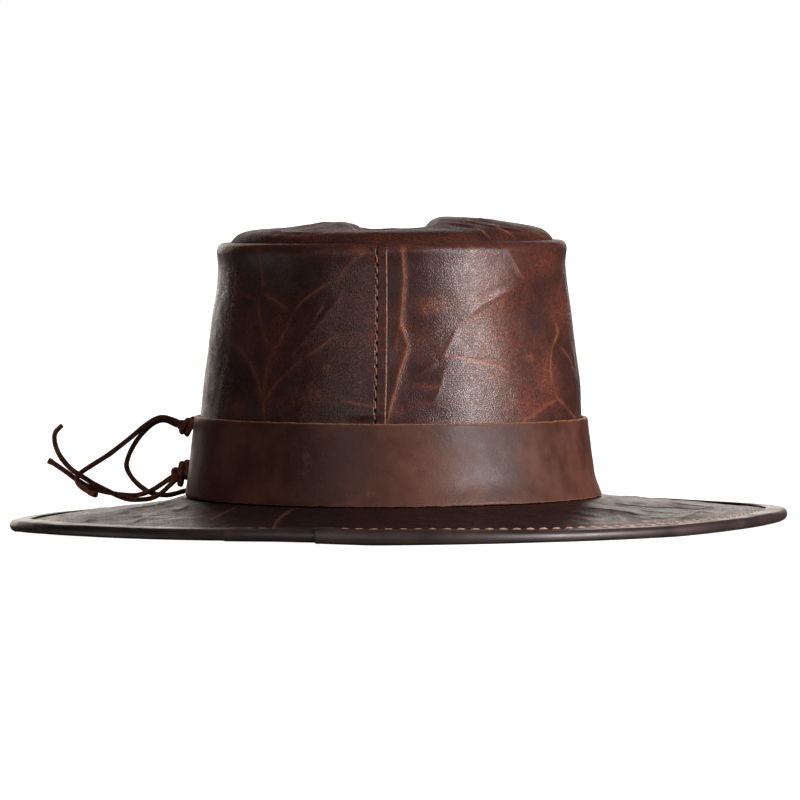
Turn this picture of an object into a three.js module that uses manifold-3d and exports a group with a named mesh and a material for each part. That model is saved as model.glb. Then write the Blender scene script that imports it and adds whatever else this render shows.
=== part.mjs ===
// Leather hat with a creased crown, a flat bound brim and a laced band.
// Millimetres, +Z up. The hat's back faces -Y, its front +Y, and its left side is -X.
// The origin is on the surface the hat rests on, under the middle of the brim.
import * as THREE from 'three';
import { mergeVertices } from 'three/addons/utils/BufferGeometryUtils.js';
import Module from 'manifold-3d';

const wasm = await Module();
wasm.setup();

// Driving sizes
const GAP = 0.3;
const STATIONS = 48;
const TIP_STATIONS = 40;
const STEP_HALF_ANGLE = 0.08;
const WELD = 1e-4;
const BRIM = {
  halfWidth: 169.75,
  halfLength: 188.75,
  thickness: 2.2,
  edgeTop: 3.45,
  rise: 7.75,
  coveRadius: 6,
  rows: [1, 0.8, 0.5],
  coveSteps: 4,
};
const BINDING = { edgeCover: 1.25, lapThickness: 0.7, lapStep: -11.8, lapEnd: 25 };
const BINDING_UNDERLAP = { thickness: 0.25, step: -25.5 };
const WALL = { thickness: 2.5, foot: 17, insideHeights: [115, 94, 62, 28, 20] };
const RIM = { height: 124.9, width: 6.6, lipThickness: 2.5, cornerRadius: 3, lean: 0.2, lipReach: 1 };
const LAP = { edge: -1.5, thickness: 1.1, flatTo: -6, fadeTo: -18, bottom: 48.2, full: 52 };
const COLLAR = { top: 28, joint: 20 };
const BAND = {
  thickness: 2.3,
  bottom: 12.6,
  leftLift: 1.4,
  top: 47.9,
  tilt: 1.1,
  rows: [20, 28, 38],
  endsAt: -98.3,
  endGap: 5,
};
const LACE = { diameter: 1.9, sides: 8, stepInDiameters: 2.1 };
const HOLE = { diameter: 3, sides: 10, inset: 6.5, cutterInThicknesses: 3 };
const KNOT = { sides: 6, steps: 12, coreSides: 8, coreRings: 6 };
const KNOT_LEG = { seatShare: 0.4, standOff: 1.6, shoulderShare: 0.35, inset: 1.5 };
const TIP = { thickness: 2.3, skirtFoot: 114, start: 125.2, shoulderRise: 5.3, shoulderLength: 3.6 };
const CREASE = { centre: -1, depth: 20, halfWidth: 17, swell: 6, swellAt: -12, swellReach: 30 };
const CREASE_ENDS = { back: -60, backFull: -24, frontFull: 40, front: 76 };
const RIDGE_ENDS = { back: -66, backFull: -28, frontFull: 46, front: 80 };
const RIDGES = {
  left: { height: 3.0, line: -22, reach: 22, innerFoot: -11, innerTop: -25 },
  right: { height: 4.6, line: 27, reach: 26, innerFoot: 7, innerTop: 21 },
};

// Outer face of the crown wall: the oval's centre and half sizes at each height.
const CROWN_SECTIONS = [
  { height: 14.5, centre: -2.3, halfWidth: 88.8, halfLength: 106.5 },
  { height: 20, centre: -2.9, halfWidth: 87.4, halfLength: 104.8 },
  { height: 28, centre: -3.0, halfWidth: 86.2, halfLength: 103.4 },
  { height: 38, centre: -3.0, halfWidth: 85.0, halfLength: 102.2 },
  { height: 48, centre: -2.9, halfWidth: 83.9, halfLength: 101.1 },
  { height: 52, centre: -2.8, halfWidth: 83.6, halfLength: 100.8 },
  { height: 62, centre: -2.4, halfWidth: 82.9, halfLength: 99.9 },
  { height: 78, centre: -2.1, halfWidth: 80.8, halfLength: 97.6 },
  { height: 94, centre: -1.9, halfWidth: 78.8, halfLength: 95.3 },
  { height: 108, centre: -1.8, halfWidth: 76.9, halfLength: 93.2 },
  { height: 115, centre: -1.8, halfWidth: 76.5, halfLength: 92.7 },
  { height: 121, centre: -1.8, halfWidth: 77.1, halfLength: 93.3 },
];

// Soft dents pressed into the wall, and slight swells, whose depth is below zero.
// Angles run from the back centre towards the right side.
const WALL_DENTS = [
  { angle: 6, height: 76, across: 11, tall: 24, depth: 2.1 },
  { angle: 27, height: 64, across: 12, tall: 14, depth: -0.6 },
  { angle: 28, height: 107, across: 22, tall: 12, depth: -2 },
  { angle: 43, height: 108, across: 8, tall: 16, depth: -1.3 },
  { angle: -20, height: 110, across: 16, tall: 10, depth: -0.5 },
  { angle: 47, height: 92, across: 14, tall: 20, depth: 1.5 },
  { angle: -36, height: 90, across: 15, tall: 22, depth: 1.6 },
  { angle: -62, height: 72, across: 12, tall: 18, depth: 1.2 },
  { angle: 128, height: 84, across: 16, tall: 24, depth: 1.6 },
  { angle: 172, height: 74, across: 18, tall: 20, depth: 1.4 },
  { angle: 226, height: 88, across: 15, tall: 24, depth: 1.5 },
];

// How far the brim's edge stands off the surface, by angle from the back centre.
const EDGE_LIFTS = [
  { angle: -92, lift: 0 },
  { angle: -68, lift: 1.3 },
  { angle: -52, lift: 1.9 },
  { angle: -18, lift: 1.95 },
  { angle: -11, lift: 1.5 },
  { angle: -4, lift: 0.75 },
  { angle: 25, lift: 0 },
  { angle: 44, lift: 0 },
  { angle: 58, lift: 1.1 },
  { angle: 72, lift: 1.6 },
  { angle: 92, lift: 0 },
];

// The folded tape's section at the brim's edge: distance in from its nose, and height.
const BINDING_OUTSIDE = [
  { inset: 9.0, height: 0.7, lap: 0 },
  { inset: 3.6, height: 0, lap: -1 },
  { inset: 1.4, height: 0, lap: -1 },
  { inset: 0.35, height: 0.9, lap: -1 },
  { inset: 0, height: 2.35, lap: 0 },
  { inset: 0.35, height: 3.8, lap: 1 },
  { inset: 1.4, height: 4.7, lap: 1 },
  { inset: 9.0, height: 5.4, lap: 1 },
];
const BINDING_INSIDE = [
  { inset: 9.0, height: 4.5 },
  { inset: 1.3, height: 3.72 },
  { inset: 0.98, height: 3.2 },
  { inset: 0.98, height: 1.5 },
  { inset: 1.3, height: 0.98 },
  { inset: 9.0, height: 1.72 },
];

// Rings of the top panel, as a share of its edge oval.
const TIP_RINGS = [1, 0.985, 0.955, 0.9, 0.8, 0.69, 0.58, 0.47, 0.36, 0.25, 0.13];
const TIP_UNDER_RINGS = [0.968, 0.93, 0.88, 0.8, 0.69, 0.58, 0.47, 0.36, 0.25, 0.13];

// Routes of the free lace ends, from their knot to their tip, as x, y, z.
const LACE_ROUTES = {
  lace_upper_long: [
    [-97.1, 14.9, 45.8], [-100.3, 14.4, 47.2], [-103.6, 14, 48.0], [-106.7, 13.5, 47.4],
    [-110.2, 13, 45.4], [-113.8, 12.4, 42.7], [-118.2, 11.6, 39.0], [-122.6, 10.8, 35.6],
    [-127.0, 9.8, 32.3], [-131.4, 8.8, 29.5], [-135.8, 7.8, 26.8], [-139.1, 7, 24.7],
    [-140.8, 6.2, 23.2], [-141.6, 4.4, 21.3], [-140.9, 1.6, 19.4], [-139.2, -1.4, 17.8],
    [-137.0, -4, 16.5], [-134.9, -6.2, 15.4], [-132.8, -8, 14.8],
  ],
  lace_upper_loop: [
    [-97.7, 16.9, 44.4], [-100.7, 17.1, 45.8], [-103.7, 17.2, 46.5], [-106.8, 17, 45.8],
    [-109.9, 16.8, 43.8], [-112.6, 16.6, 41.2], [-115.3, 16.4, 37.9], [-117.7, 16.4, 34.0],
    [-119.5, 16.6, 29.8], [-120.1, 17, 26.5], [-119.1, 17.4, 23.4], [-116.8, 17.8, 20.0],
    [-113.7, 18, 17.1], [-110.2, 18.2, 14.8], [-106.3, 18.6, 13.6], [-102.3, 19.4, 13.3],
    [-98.6, 21.4, 13.9], [-96.2, 24.8, 14.5], [-94.6, 29.4, 14.7], [-93.8, 34, 14.6],
  ],
  lace_lower_high: [
    [-99.7, 15.3, 21.6], [-102.9, 14.9, 19.5], [-106.1, 14.2, 17.4], [-109.2, 13.4, 15.6],
    [-112.7, 12.4, 14.3], [-116.6, 11.2, 13.7], [-121.0, 10.2, 13.9], [-125.4, 9.8, 14.6],
    [-129.8, 9.8, 15.5], [-133.3, 9.8, 16.5], [-136.9, 9.8, 17.9], [-140.4, 9.8, 19.9],
    [-143.0, 10, 21.7], [-146.5, 10.6, 24.3], [-150.1, 11.4, 26.8], [-152.7, 12.2, 28.5],
    [-154.3, 12.8, 29.3],
  ],
  lace_lower_low: [
    [-98.4, 13.3, 20.3], [-101.2, 12.2, 17.7], [-103.8, 11.2, 15.3], [-106.5, 10.2, 13.4],
    [-109.5, 9, 12.3], [-113.5, 8, 11.9], [-117.8, 7, 12.0], [-121.8, 6, 13.0],
    [-125.7, 5, 14.8], [-129.6, 4.2, 16.9], [-134.0, 3.4, 19.2], [-138.0, 2.8, 21.8],
    [-140.8, 2.4, 23.6], [-143.6, 2, 25.6], [-145.8, 1.6, 27.8], [-147.7, 1.2, 30.2],
    [-149.1, 0.8, 32.4], [-150.1, 0.4, 34.7], [-150.8, 0, 36.9], [-151.1, -0.4, 39.2],
    [-151.0, -0.8, 41.0], [-150.4, -1.2, 42.6], [-149.1, -1.6, 44.0], [-147.6, -2, 45.4],
  ],
};

// Turns of lace that make each knot: centre, half width and half height, lean and turn.
const KNOT_WRAPS = {
  knot_upper: [
    { centre: [-91.8, 15.7, 43.8], radius: [2.9, 3.8], lean: 24, turn: 6 },
    { centre: [-94.0, 15.6, 44.0], radius: [2.7, 3.1], lean: 30, turn: -8 },
    { centre: [-95.5, 15.4, 44.3], radius: [1.2, 1.4], lean: 12, turn: 55 },
  ],
  knot_lower: [
    { centre: [-93.4, 15.5, 24.6], radius: [3.1, 3.6], lean: 3, turn: 6 },
    { centre: [-95.9, 15.3, 22.8], radius: [3.3, 4.8], lean: 5, turn: -6 },
    { centre: [-98.1, 15.0, 23.4], radius: [1.4, 1.5], lean: -10, turn: 55 },
  ],
};
const KNOT_CORES = {
  knot_upper: { centre: [-93.8, 15.6, 44.0], size: [3.2, 2.7, 2.8] },
  knot_lower: { centre: [-96.0, 15.3, 23.2], size: [3.4, 2.9, 3.3] },
};

const COLOURS = {
  crown: 0x3a1e16,
  brim: 0x33201a,
  binding: 0x231a19,
  band: 0x4a2c22,
  lace: 0x4c2415,
};

const radians = THREE.MathUtils.degToRad;

function smooth(low, high, value) {
  return THREE.MathUtils.smoothstep(value, low, high);
}

// Straight-line reading of a table, carried on past both of its ends.
function readTable(table, key, at, column) {
  let upper = table.findIndex((row) => row[key] >= at);
  if (upper < 0) upper = table.length - 1;
  upper = Math.max(upper, 1);
  const low = table[upper - 1];
  const high = table[upper];
  const share = (at - low[key]) / (high[key] - low[key]);
  return low[column] + (high[column] - low[column]) * share;
}

// An oval seen from above, with the angle measured from the back centre towards +X.
function ovalPoint(oval, angle, height) {
  const turn = radians(angle);
  const x = oval.centre + oval.halfWidth * Math.sin(turn);
  const y = -oval.halfLength * Math.cos(turn);
  return new THREE.Vector3(x, y, height);
}

// Direction straight out of an oval's edge.
function ovalNormal(oval, angle) {
  const turn = radians(angle);
  const normal = new THREE.Vector3(Math.sin(turn) / oval.halfWidth, -Math.cos(turn) / oval.halfLength, 0);
  return normal.normalize();
}

function crownOval(height, inset = 0) {
  return {
    centre: readTable(CROWN_SECTIONS, 'height', height, 'centre'),
    halfWidth: readTable(CROWN_SECTIONS, 'height', height, 'halfWidth') - inset,
    halfLength: readTable(CROWN_SECTIONS, 'height', height, 'halfLength') - inset,
  };
}

// A closed mesh with its faces turned out, whichever way its triangles were listed.
function closedGeometry(points, triangles) {
  let volume = 0;
  for (const [a, b, c] of triangles) {
    volume += points[a].dot(new THREE.Vector3().crossVectors(points[b], points[c]));
  }
  const faces = volume < 0 ? triangles.map(([a, b, c]) => [a, c, b]) : triangles;
  const geometry = new THREE.BufferGeometry().setFromPoints(points);
  geometry.setIndex(faces.flat());
  geometry.computeVertexNormals();
  return geometry;
}

// Skins a row of closed sections. A ring joins its last section to its first,
// and a strip is capped at both ends.
function skinSections(sections, isRing) {
  const size = sections[0].length;
  const points = sections.flat();
  const triangles = [];
  const spans = isRing ? sections.length : sections.length - 1;
  for (let station = 0; station < spans; station += 1) {
    const here = station * size;
    const next = ((station + 1) % sections.length) * size;
    for (let corner = 0; corner < size; corner += 1) {
      const after = (corner + 1) % size;
      triangles.push([here + corner, next + corner, next + after]);
      triangles.push([here + corner, next + after, here + after]);
    }
  }
  if (!isRing) {
    const last = (sections.length - 1) * size;
    for (let corner = 1; corner < size / 2; corner += 1) {
      const facing = size - 1 - corner;
      const pair = [corner - 1, corner, facing, facing + 1];
      triangles.push([pair[0], pair[1], pair[2]], [pair[0], pair[2], pair[3]]);
      const far = pair.map((index) => last + index);
      triangles.push([far[0], far[2], far[1]], [far[0], far[3], far[2]]);
    }
  }
  return closedGeometry(points, triangles);
}

function ringAngles(extra = []) {
  const even = Array.from({ length: STATIONS }, (_, index) => -180 + (index * 360) / STATIONS);
  return [...even, ...extra].sort((a, b) => a - b);
}

// Two stations a hair apart, so that a step stands square.
function stepStations(angle) {
  return [angle - STEP_HALF_ANGLE, angle + STEP_HALF_ANGLE];
}

function toSolid(geometry) {
  const bare = geometry.clone();
  bare.deleteAttribute('normal');
  bare.deleteAttribute('uv');
  const merged = mergeVertices(bare, WELD);
  const vertProperties = new Float32Array(merged.attributes.position.array);
  const triVerts = new Uint32Array(merged.index.array);
  return new wasm.Manifold(new wasm.Mesh({ numProp: 3, vertProperties, triVerts }));
}

function fromSolid(solid) {
  const mesh = solid.getMesh();
  const geometry = new THREE.BufferGeometry();
  geometry.setAttribute('position', new THREE.BufferAttribute(mesh.vertProperties, 3));
  geometry.setIndex(new THREE.BufferAttribute(mesh.triVerts, 1));
  geometry.computeVertexNormals();
  return geometry;
}

function leather(colour, roughness) {
  return new THREE.MeshStandardMaterial({ color: colour, roughness, metalness: 0 });
}

function piece(name, geometry, material) {
  const mesh = new THREE.Mesh(geometry, material);
  mesh.name = name;
  return mesh;
}

// Crown wall
function dentDepth(angle, height) {
  let depth = 0;
  for (const dent of WALL_DENTS) {
    const apart = Math.abs(THREE.MathUtils.euclideanModulo(angle - dent.angle + 180, 360) - 180);
    const lift = (height - dent.height) / dent.tall;
    depth += dent.depth * Math.exp(-((apart / dent.across) ** 2) - lift ** 2);
  }
  return depth;
}

function lapRise(angle, height) {
  if (angle > LAP.edge || angle < LAP.fadeTo) return 0;
  const across = 1 - smooth(0, LAP.flatTo - LAP.fadeTo, LAP.flatTo - angle);
  return LAP.thickness * across * smooth(LAP.bottom, LAP.full, height);
}

function wallSection(angle) {
  const section = [];
  const outerHeights = [WALL.foot, ...CROWN_SECTIONS.slice(1).map((row) => row.height)];
  for (const height of outerHeights) {
    const inset = dentDepth(angle, height) - lapRise(angle, height);
    section.push(ovalPoint(crownOval(height, inset), angle, height));
  }
  const shoulder = CROWN_SECTIONS.at(-1).height;
  const rise = RIM.height - shoulder;
  const lap = lapRise(angle, shoulder);
  for (const turn of [45, 90]) {
    const inset = RIM.cornerRadius * (1 - Math.cos(radians(turn))) - lap * (1 - turn / 90);
    section.push(ovalPoint(crownOval(shoulder, inset), angle, shoulder + rise * Math.sin(radians(turn))));
  }
  section.push(ovalPoint(crownOval(shoulder, RIM.width), angle, RIM.height - RIM.lean));
  const underLip = RIM.height - RIM.lipThickness;
  section.push(ovalPoint(crownOval(shoulder, RIM.width), angle, underLip));
  section.push(ovalPoint(crownOval(shoulder, WALL.thickness + RIM.lipReach), angle, underLip));
  for (const height of [...WALL.insideHeights, WALL.foot]) {
    const inset = WALL.thickness + dentDepth(angle, height);
    section.push(ovalPoint(crownOval(height, inset), angle, height));
  }
  return section;
}

function makeCrownSide() {
  const angles = ringAngles(stepStations(LAP.edge));
  return skinSections(angles.map(wallSection), true);
}

// Crown top
function ridgeRise(x, y) {
  const { left, right } = RIDGES;
  const leftOuter = x < left.line ? Math.exp(-(((x - left.line) / left.reach) ** 2)) : 1;
  const leftInner = 1 - smooth(left.innerTop, left.innerFoot, x);
  const rightOuter = x > right.line ? Math.exp(-(((x - right.line) / right.reach) ** 2)) : 1;
  const rightInner = smooth(right.innerFoot, right.innerTop, x);
  const height = left.height * leftOuter * leftInner + right.height * rightOuter * rightInner;
  const fromBack = smooth(RIDGE_ENDS.back, RIDGE_ENDS.backFull, y);
  const fromFront = 1 - smooth(RIDGE_ENDS.frontFull, RIDGE_ENDS.front, y);
  return height * fromBack * fromFront;
}

function creaseDepth(x, y) {
  const swell = CREASE.swell * Math.exp(-(((y - CREASE.swellAt) / CREASE.swellReach) ** 2));
  const share = Math.min(1, Math.abs(x - CREASE.centre) / (CREASE.halfWidth + swell));
  const fromBack = smooth(CREASE_ENDS.back, CREASE_ENDS.backFull, y);
  const fromFront = 1 - smooth(CREASE_ENDS.frontFull, CREASE_ENDS.front, y);
  return CREASE.depth * (1 - share ** 2) ** 2 * fromBack * fromFront;
}

const tipOval = crownOval(CROWN_SECTIONS.at(-1).height, RIM.width + GAP);

function tipHeight(x, y) {
  const share = Math.hypot((x - tipOval.centre) / tipOval.halfWidth, y / tipOval.halfLength);
  const fromEdge = Math.max(0, 1 - share) * tipOval.halfWidth;
  const shoulder = TIP.shoulderRise * (1 - Math.exp(-fromEdge / TIP.shoulderLength));
  return TIP.start + shoulder + ridgeRise(x, y) - creaseDepth(x, y);
}

function tipUnderside(x, y) {
  const reach = 0.5;
  const slopeX = (tipHeight(x + reach, y) - tipHeight(x - reach, y)) / (2 * reach);
  const slopeY = (tipHeight(x, y + reach) - tipHeight(x, y - reach)) / (2 * reach);
  return tipHeight(x, y) - TIP.thickness * Math.hypot(1, slopeX, slopeY);
}

function tipRing(share, heightAt) {
  const oval = {
    centre: tipOval.centre,
    halfWidth: tipOval.halfWidth * share,
    halfLength: tipOval.halfLength * share,
  };
  return Array.from({ length: TIP_STATIONS }, (_, index) => {
    const point = ovalPoint(oval, (index * 360) / TIP_STATIONS, 0);
    point.z = heightAt(point.x, point.y);
    return point;
  });
}

// A cup-shaped solid, skinned from its top centre, down its skirt and back under.
function makeCrownTip() {
  const skirt = () => TIP.skirtFoot;
  const rings = [
    ...TIP_RINGS.toReversed().map((share) => tipRing(share, tipHeight)),
    tipRing(1, skirt),
    tipRing(TIP_UNDER_RINGS[0], skirt),
    ...TIP_UNDER_RINGS.map((share) => tipRing(share, tipUnderside)),
  ];
  const points = rings.flat();
  const centre = tipOval.centre;
  points.push(new THREE.Vector3(centre, 0, tipHeight(centre, 0)));
  points.push(new THREE.Vector3(centre, 0, tipUnderside(centre, 0)));
  const top = points.length - 2;
  const under = points.length - 1;
  const lastRing = (rings.length - 1) * TIP_STATIONS;
  const triangles = [];
  for (let station = 0; station < TIP_STATIONS; station += 1) {
    const next = (station + 1) % TIP_STATIONS;
    triangles.push([top, station, next]);
    triangles.push([under, lastRing + next, lastRing + station]);
    for (let ring = 0; ring < rings.length - 1; ring += 1) {
      const here = ring * TIP_STATIONS;
      const below = here + TIP_STATIONS;
      triangles.push([here + station, below + station, below + next]);
      triangles.push([here + station, below + next, here + next]);
    }
  }
  return closedGeometry(points, triangles);
}

// Brim
function edgeLift(angle) {
  const wrapped = THREE.MathUtils.euclideanModulo(angle + 180, 360) - 180;
  if (wrapped <= EDGE_LIFTS[0].angle || wrapped >= EDGE_LIFTS.at(-1).angle) return 0;
  return readTable(EDGE_LIFTS, 'angle', wrapped, 'lift');
}

const collarInset = WALL.thickness + GAP;
const brimStart = crownOval(BRIM.edgeTop + BRIM.rise, collarInset - BRIM.coveRadius);

// The brim's oval: 0 where the cove starts, 1 at the leather's edge.
function brimOval(share) {
  return {
    centre: brimStart.centre * (1 - share),
    halfWidth: THREE.MathUtils.lerp(brimStart.halfWidth, BRIM.halfWidth, share),
    halfLength: THREE.MathUtils.lerp(brimStart.halfLength, BRIM.halfLength, share),
  };
}

function brimTop(share, angle) {
  return BRIM.edgeTop + BRIM.rise * (1 - share) + edgeLift(angle) * share ** 2;
}

function covePoint(angle, turn, radius) {
  const inset = collarInset - BRIM.coveRadius + radius * Math.sin(turn);
  const height = BRIM.edgeTop + BRIM.rise + BRIM.coveRadius - radius * Math.cos(turn);
  return ovalPoint(crownOval(height, inset), angle, height);
}

function brimSection(angle) {
  const section = BRIM.rows.map((share) => ovalPoint(brimOval(share), angle, brimTop(share, angle)));
  const turnStep = Math.PI / 2 / BRIM.coveSteps;
  const turns = Array.from({ length: BRIM.coveSteps + 1 }, (_, step) => step * turnStep);
  for (const turn of turns) {
    section.push(covePoint(angle, turn, BRIM.coveRadius));
  }
  const heights = [COLLAR.joint, COLLAR.top];
  for (const height of heights) {
    section.push(ovalPoint(crownOval(height, collarInset), angle, height));
  }
  for (const height of heights.toReversed()) {
    section.push(ovalPoint(crownOval(height, collarInset + BRIM.thickness), angle, height));
  }
  for (const turn of turns.toReversed()) {
    section.push(covePoint(angle, turn, BRIM.coveRadius + BRIM.thickness));
  }
  for (const share of BRIM.rows.toReversed()) {
    section.push(ovalPoint(brimOval(share), angle, brimTop(share, angle) - BRIM.thickness));
  }
  return section;
}

function makeBrim() {
  return skinSections(ringAngles().map(brimSection), true);
}

// Binding
function tapeLap(angle) {
  if (angle < BINDING_UNDERLAP.step || angle > BINDING.lapEnd) return 0;
  if (angle < BINDING.lapStep) return BINDING_UNDERLAP.thickness;
  return BINDING.lapThickness * (1 - smooth(0, BINDING.lapEnd, angle));
}

function bindingPoint(angle, inset, height) {
  const reach = BRIM.halfWidth - brimStart.halfWidth;
  const share = 1 + (BINDING.edgeCover - inset) / reach;
  return ovalPoint(brimOval(share), angle, height + edgeLift(angle) * Math.min(1, share) ** 2);
}

function bindingSection(angle) {
  const lap = tapeLap(angle);
  const under = Math.min(lap, edgeLift(angle));
  const section = BINDING_OUTSIDE.map((row) => {
    const shift = row.lap < 0 ? under : lap;
    const inset = row.inset < BINDING.edgeCover ? row.inset - lap : row.inset;
    return bindingPoint(angle, inset, row.height + row.lap * shift);
  });
  for (const row of BINDING_INSIDE) {
    section.push(bindingPoint(angle, row.inset, row.height));
  }
  return section;
}

function makeBinding() {
  const steps = [...stepStations(BINDING.lapStep), ...stepStations(BINDING_UNDERLAP.step)];
  return skinSections(ringAngles(steps).map(bindingSection), true);
}

// Band
function bandSection(angle) {
  const left = Math.max(0, -Math.sin(radians(angle)));
  const bottom = BAND.bottom + BAND.leftLift * left ** 2;
  const top = BAND.top - BAND.tilt * Math.sin(radians(angle));
  const heights = [bottom, ...BAND.rows, top];
  const outset = GAP + BAND.thickness;
  const outside = heights.map((height) => ovalPoint(crownOval(height, -outset), angle, height));
  const inside = heights.map((height) => ovalPoint(crownOval(height, -GAP), angle, height));
  return [...outside, ...inside.toReversed()];
}

// Angle on the band's oval that is a given length away from the place where its ends meet.
function bandAngle(fromEnds) {
  const oval = crownOval(BAND.bottom, -GAP);
  return BAND.endsAt + THREE.MathUtils.radToDeg(fromEnds / oval.halfLength);
}

function holeCutter(fromEnds, height) {
  const angle = bandAngle(fromEnds);
  const middle = crownOval(height, -GAP - BAND.thickness / 2);
  const centre = ovalPoint(middle, angle, height);
  const radius = HOLE.diameter / 2;
  const length = HOLE.cutterInThicknesses * BAND.thickness;
  const cutter = new THREE.CylinderGeometry(radius, radius, length, HOLE.sides);
  const up = new THREE.Vector3(0, 1, 0);
  cutter.applyQuaternion(new THREE.Quaternion().setFromUnitVectors(up, ovalNormal(middle, angle)));
  cutter.translate(centre.x, centre.y, centre.z);
  return toSolid(cutter);
}

function makeBand() {
  const first = bandAngle(BAND.endGap / 2);
  const last = bandAngle(-BAND.endGap / 2) + 360;
  const spacing = 360 / STATIONS;
  const between = Array.from({ length: 2 * STATIONS }, (_, index) => -180 + index * spacing);
  const inside = between.filter((angle) => angle > first + spacing / 8 && angle < last - spacing / 8);
  const angles = [first, ...inside, last];
  let solid = toSolid(skinSections(angles.map(bandSection), false));
  for (const [height, side] of holePlaces()) {
    solid = solid.subtract(holeCutter(side * HOLE.inset, height));
  }
  return fromSolid(solid);
}

function holePlaces() {
  const heights = Object.values(KNOT_CORES).map((core) => core.centre[2]);
  return heights.flatMap((height) => [[height, -1], [height, 1]]);
}

// Laces and knots
function octagon(radius) {
  const corners = Array.from({ length: LACE.sides }, (_, index) => {
    const turn = (index * 2 * Math.PI) / LACE.sides;
    return new THREE.Vector2(radius * Math.cos(turn), radius * Math.sin(turn));
  });
  return new THREE.Shape(corners);
}

function tubeAlong(points) {
  const route = new THREE.CatmullRomCurve3(points, false, 'centripetal');
  const steps = Math.ceil(route.getLength() / (LACE.stepInDiameters * LACE.diameter));
  const tube = new THREE.ExtrudeGeometry(octagon(LACE.diameter / 2), { steps, extrudePath: route });
  return fromSolid(toSolid(tube));
}

function makeLace(route) {
  return tubeAlong(route.map(([x, y, z]) => new THREE.Vector3(x, y, z)));
}

function makeWrap(wrap) {
  const [halfWidth, halfHeight] = wrap.radius;
  const ring = new THREE.TorusGeometry(1, LACE.diameter / 2, KNOT.sides, KNOT.steps);
  const corners = ring.attributes.position;
  for (let index = 0; index < corners.count; index += 1) {
    const spoke = new THREE.Vector2(corners.getX(index), corners.getY(index));
    const beyond = spoke.length() - 1;
    spoke.normalize().multiply(new THREE.Vector2(halfHeight + beyond, halfWidth + beyond));
    corners.setXY(index, spoke.x, spoke.y);
  }
  ring.rotateY(Math.PI / 2).rotateZ(radians(wrap.turn)).rotateY(radians(wrap.lean));
  ring.translate(...wrap.centre);
  return toSolid(ring);
}

function makeKnot(name) {
  const core = KNOT_CORES[name];
  const ball = new THREE.SphereGeometry(1, KNOT.coreSides, KNOT.coreRings);
  ball.scale(...core.size);
  ball.translate(...core.centre);
  let solid = toSolid(ball);
  for (const wrap of KNOT_WRAPS[name]) {
    solid = solid.add(makeWrap(wrap));
  }
  return solid;
}

// The lace runs from each knot down into the two holes beside it, and stops inside the leather.
function makeKnotWithLegs(name) {
  const core = KNOT_CORES[name];
  let solid = makeKnot(name);
  for (const side of [-1, 1]) {
    const angle = bandAngle(side * HOLE.inset);
    const height = core.centre[2];
    const seat = ovalPoint(crownOval(height, -GAP - BAND.thickness * KNOT_LEG.seatShare), angle, height);
    const above = ovalPoint(crownOval(height, -GAP - BAND.thickness - KNOT_LEG.standOff), angle, height);
    const knot = new THREE.Vector3(core.centre[0] + KNOT_LEG.inset, core.centre[1], height);
    const shoulder = above.clone().lerp(knot, KNOT_LEG.shoulderShare);
    solid = solid.add(toSolid(tubeAlong([seat, above, shoulder, knot])));
  }
  return fromSolid(solid);
}

const crownLeather = leather(COLOURS.crown, 0.35);
const brimLeather = leather(COLOURS.brim, 0.38);
const bindingLeather = leather(COLOURS.binding, 0.45);
const bandLeather = leather(COLOURS.band, 0.6);
const laceLeather = leather(COLOURS.lace, 0.65);

const hat = new THREE.Group();
hat.add(piece('crown_side', makeCrownSide(), crownLeather));
hat.add(piece('crown_tip', makeCrownTip(), crownLeather.clone()));
hat.add(piece('brim', makeBrim(), brimLeather));
hat.add(piece('brim_binding', makeBinding(), bindingLeather));
hat.add(piece('hat_band', makeBand(), bandLeather));
for (const name of Object.keys(KNOT_WRAPS)) {
  hat.add(piece(name, makeKnotWithLegs(name), laceLeather.clone()));
}
for (const [name, route] of Object.entries(LACE_ROUTES)) {
  hat.add(piece(name, makeLace(route), laceLeather.clone()));
}

export default hat;
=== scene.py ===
# Leather hat with a creased crown, a flat bound brim and a laced band, seen from behind.
# Sizes are in millimetres in the hat's own frame, and become metres as each mesh is made.
# +Z is up, the hat's back faces -Y, its front +Y, and its left side is -X.
import math

import bpy
import numpy as np
from mathutils import Matrix, Vector


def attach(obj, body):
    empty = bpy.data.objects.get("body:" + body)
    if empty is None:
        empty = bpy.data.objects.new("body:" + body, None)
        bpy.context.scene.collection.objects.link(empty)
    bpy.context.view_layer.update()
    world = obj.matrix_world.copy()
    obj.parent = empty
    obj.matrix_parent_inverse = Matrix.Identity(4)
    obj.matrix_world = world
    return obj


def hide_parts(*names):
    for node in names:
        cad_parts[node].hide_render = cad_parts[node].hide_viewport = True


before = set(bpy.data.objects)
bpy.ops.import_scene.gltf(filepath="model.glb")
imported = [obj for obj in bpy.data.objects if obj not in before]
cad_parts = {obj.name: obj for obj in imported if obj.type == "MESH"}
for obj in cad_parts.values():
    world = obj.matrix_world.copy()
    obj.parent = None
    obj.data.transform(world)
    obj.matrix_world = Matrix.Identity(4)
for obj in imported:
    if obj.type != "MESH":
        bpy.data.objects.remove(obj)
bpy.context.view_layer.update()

MM = 0.001

# Camera: where it stands and looks, how far it tips so that the picture's right side is raised,
# and how large a pixel is at the hat's middle.
CAMERA_HEIGHT = 160
CAMERA_DISTANCE = 3500
CAMERA_SIDE = 1.166
LOOK_HEIGHT = 55
RAISED_RIGHT = 0.55
MM_PER_PIXEL = 0.44
PICTURE_SIZE = 800
SENSOR_WIDTH = 36

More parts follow.
